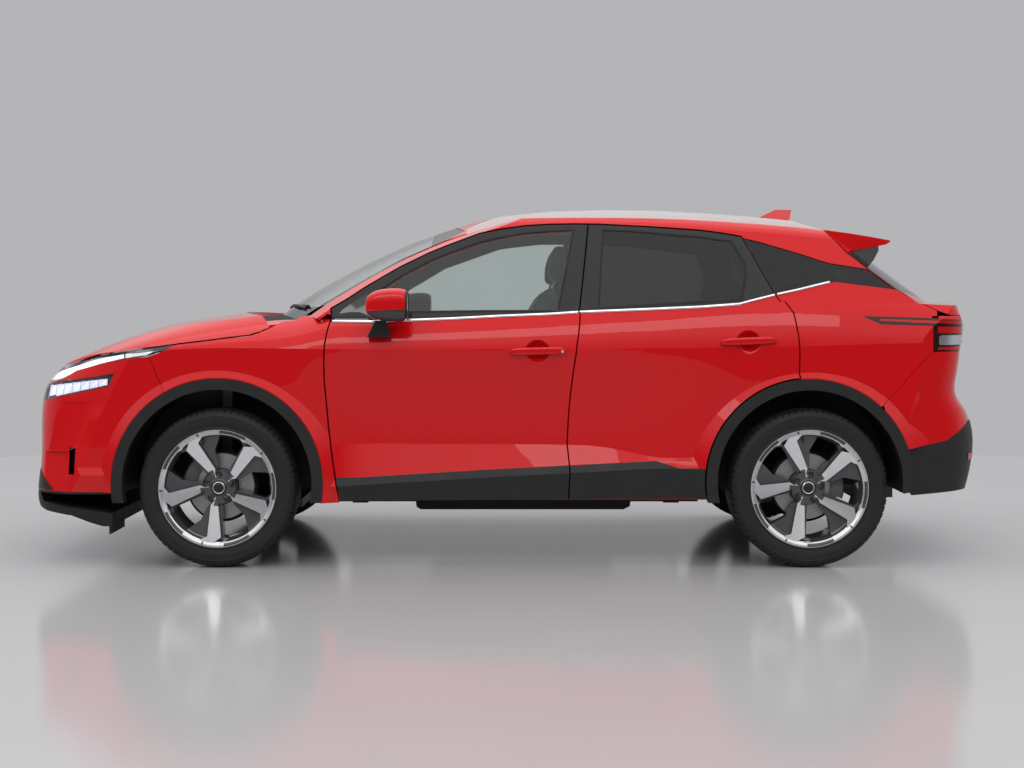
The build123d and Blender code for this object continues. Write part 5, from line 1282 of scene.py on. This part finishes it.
for y in (0.405, 0.475):
    boxes.lathe(upright(FRONT_X - 0.24, y, 0.885), [(0.0, 0.0), (0.0, 0.011), (0.014, 0.010), (0.016, 0.0)],
                20)
boxes.piece("air_box_and_battery", SATIN_BLACK, sharp=40)
CAP = [(-0.004, 0.0), (-0.004, 0.024), (0.018, 0.023), (0.022, 0.019), (0.022, 0.0)]
tanks, caps = Form(), Form()
for x, y, z, size, bevel in ((FRONT_X + 0.06, 0.450, 0.810, (0.15, 0.130, 0.120), 0.030),
                             (FRONT_X - 0.36, -0.480, 0.720, (0.09, 0.090, 0.090), 0.024)):
    tanks.box((x, y, z), size, bevel, segments=5)
    caps.lathe(upright(x, y, z + size[2] / 2), CAP, 24)
tanks.piece("coolant_and_washer_tanks", MILKY, sharp=40)
caps.piece("filler_caps", BLACK, sharp=40)
block("lock_carrier", DARK_METAL, (NOSE_X + 0.345, 0, 0.842), (0.045, 1.02, 0.030), 0.006)

tree = skin("floor_pan")
lines = [[from_top(tree, 1.20 + 0.80 * i / 17, 0.88 * j / 12 - 0.44) for j in range(13)] for i in range(18)]
rows = []
for hits in whole(lines):
    heights = [point.z for point, normal in hits]
    if max(heights) - min(heights) < 0.02 and heights[0] < 0.70:
        rows.append([point + Vector((0, 0, 0.004)) for point, normal in hits])
Form().grid(rows).piece("boot_carpet", CARPET, sharp=60)
mats = Form()
for centre in (-SEAT_Y, SEAT_Y):
    rows = [[from_top(tree, 0.22 * i / 9 - 0.74, centre + 0.42 * j / 8 - 0.21) for j in range(9)]
            for i in range(10)]
    mats.grid([[point + Vector((0, 0, 0.006)) for point, normal in hits] for hits in whole(rows)])
mats.piece("foot_mats", CARPET, sharp=60)


# ------------------------------------------------------------------ stage, light, camera
WALL, ROOM, CLOTH = (0.46, 0.46, 0.475), (0.16, 0.16, 0.165), (1.12, 1.12, 1.12)


def world_light():
    """Grey wall behind the car, a darker room before it, a bright cloth overhead."""
    world = bpy.context.scene.world or bpy.data.worlds.new("world")
    bpy.context.scene.world = world
    world.use_nodes = True
    sky = Nodes(world.node_tree, "Generated")
    wall = sky.mix(sky.remap(sky.y, -0.30, 0.10), ROOM, WALL)
    raised = sky.math("ADD", sky.z, sky.remap(sky.y, -0.30, 0.10, 0.12, 0.0))
    back = sky.tree.nodes["Background"]
    sky.put(back.inputs["Color"], sky.mix(sky.remap(raised, 0.24, 0.52), wall, CLOTH))
    sky.put(back.inputs["Strength"], 1.0)


def placed(name, data, where):
    obj = bpy.data.objects.new(name, data)
    obj.location = where
    bpy.context.scene.collection.objects.link(obj)
    return obj


def lamp(name, where, size, power, aim):
    data = bpy.data.lights.new(name, "AREA")
    data.shape = "RECTANGLE"
    data.size, data.size_y = size
    data.energy = power
    way = Vector(aim) - Vector(where)
    placed(name, data, where).rotation_euler = way.to_track_quat("-Z", "Y").to_euler()


def studio():
    """Pale floor, soft light and a camera at the height and distance of a side view."""
    bm = bmesh.new()
    bmesh.ops.create_circle(bm, cap_ends=True, segments=128, radius=5.9)
    mesh = bpy.data.meshes.new("floor")
    bm.to_mesh(mesh)
    bm.free()
    sh = Shader("floor_finish", coat=0.0, specular=0.5, rough=0.14)
    sh.set(colour=sh.mix(sh.noise(0.8, 3), (0.45, 0.45, 0.46), (0.50, 0.50, 0.51)))
    mesh.materials.append(sh.mat)
    placed("floor", mesh, (0, 0, 0))
    world_light()
    lamp("overhead", (0, -0.5, 4.6), (6.5, 3.0), 50, (0, 0, 0))
    lamp("left_fill", (-0.5, -6.5, 5.2), (8.0, 1.6), 105, (0, 0, 0.6))
    cam = bpy.data.cameras.new("camera")
    cam.sensor_width = 36
    cam.lens = 54.703
    cam.shift_x, cam.shift_y = -0.001465, -0.073242
    obj = placed("camera", cam, (0.015, -7.9, 1.166))
    obj.rotation_euler = (math.radians(90), 0, 0)
    bpy.context.scene.camera = obj
    bpy.context.scene.view_settings.view_transform = "Standard"


studio()
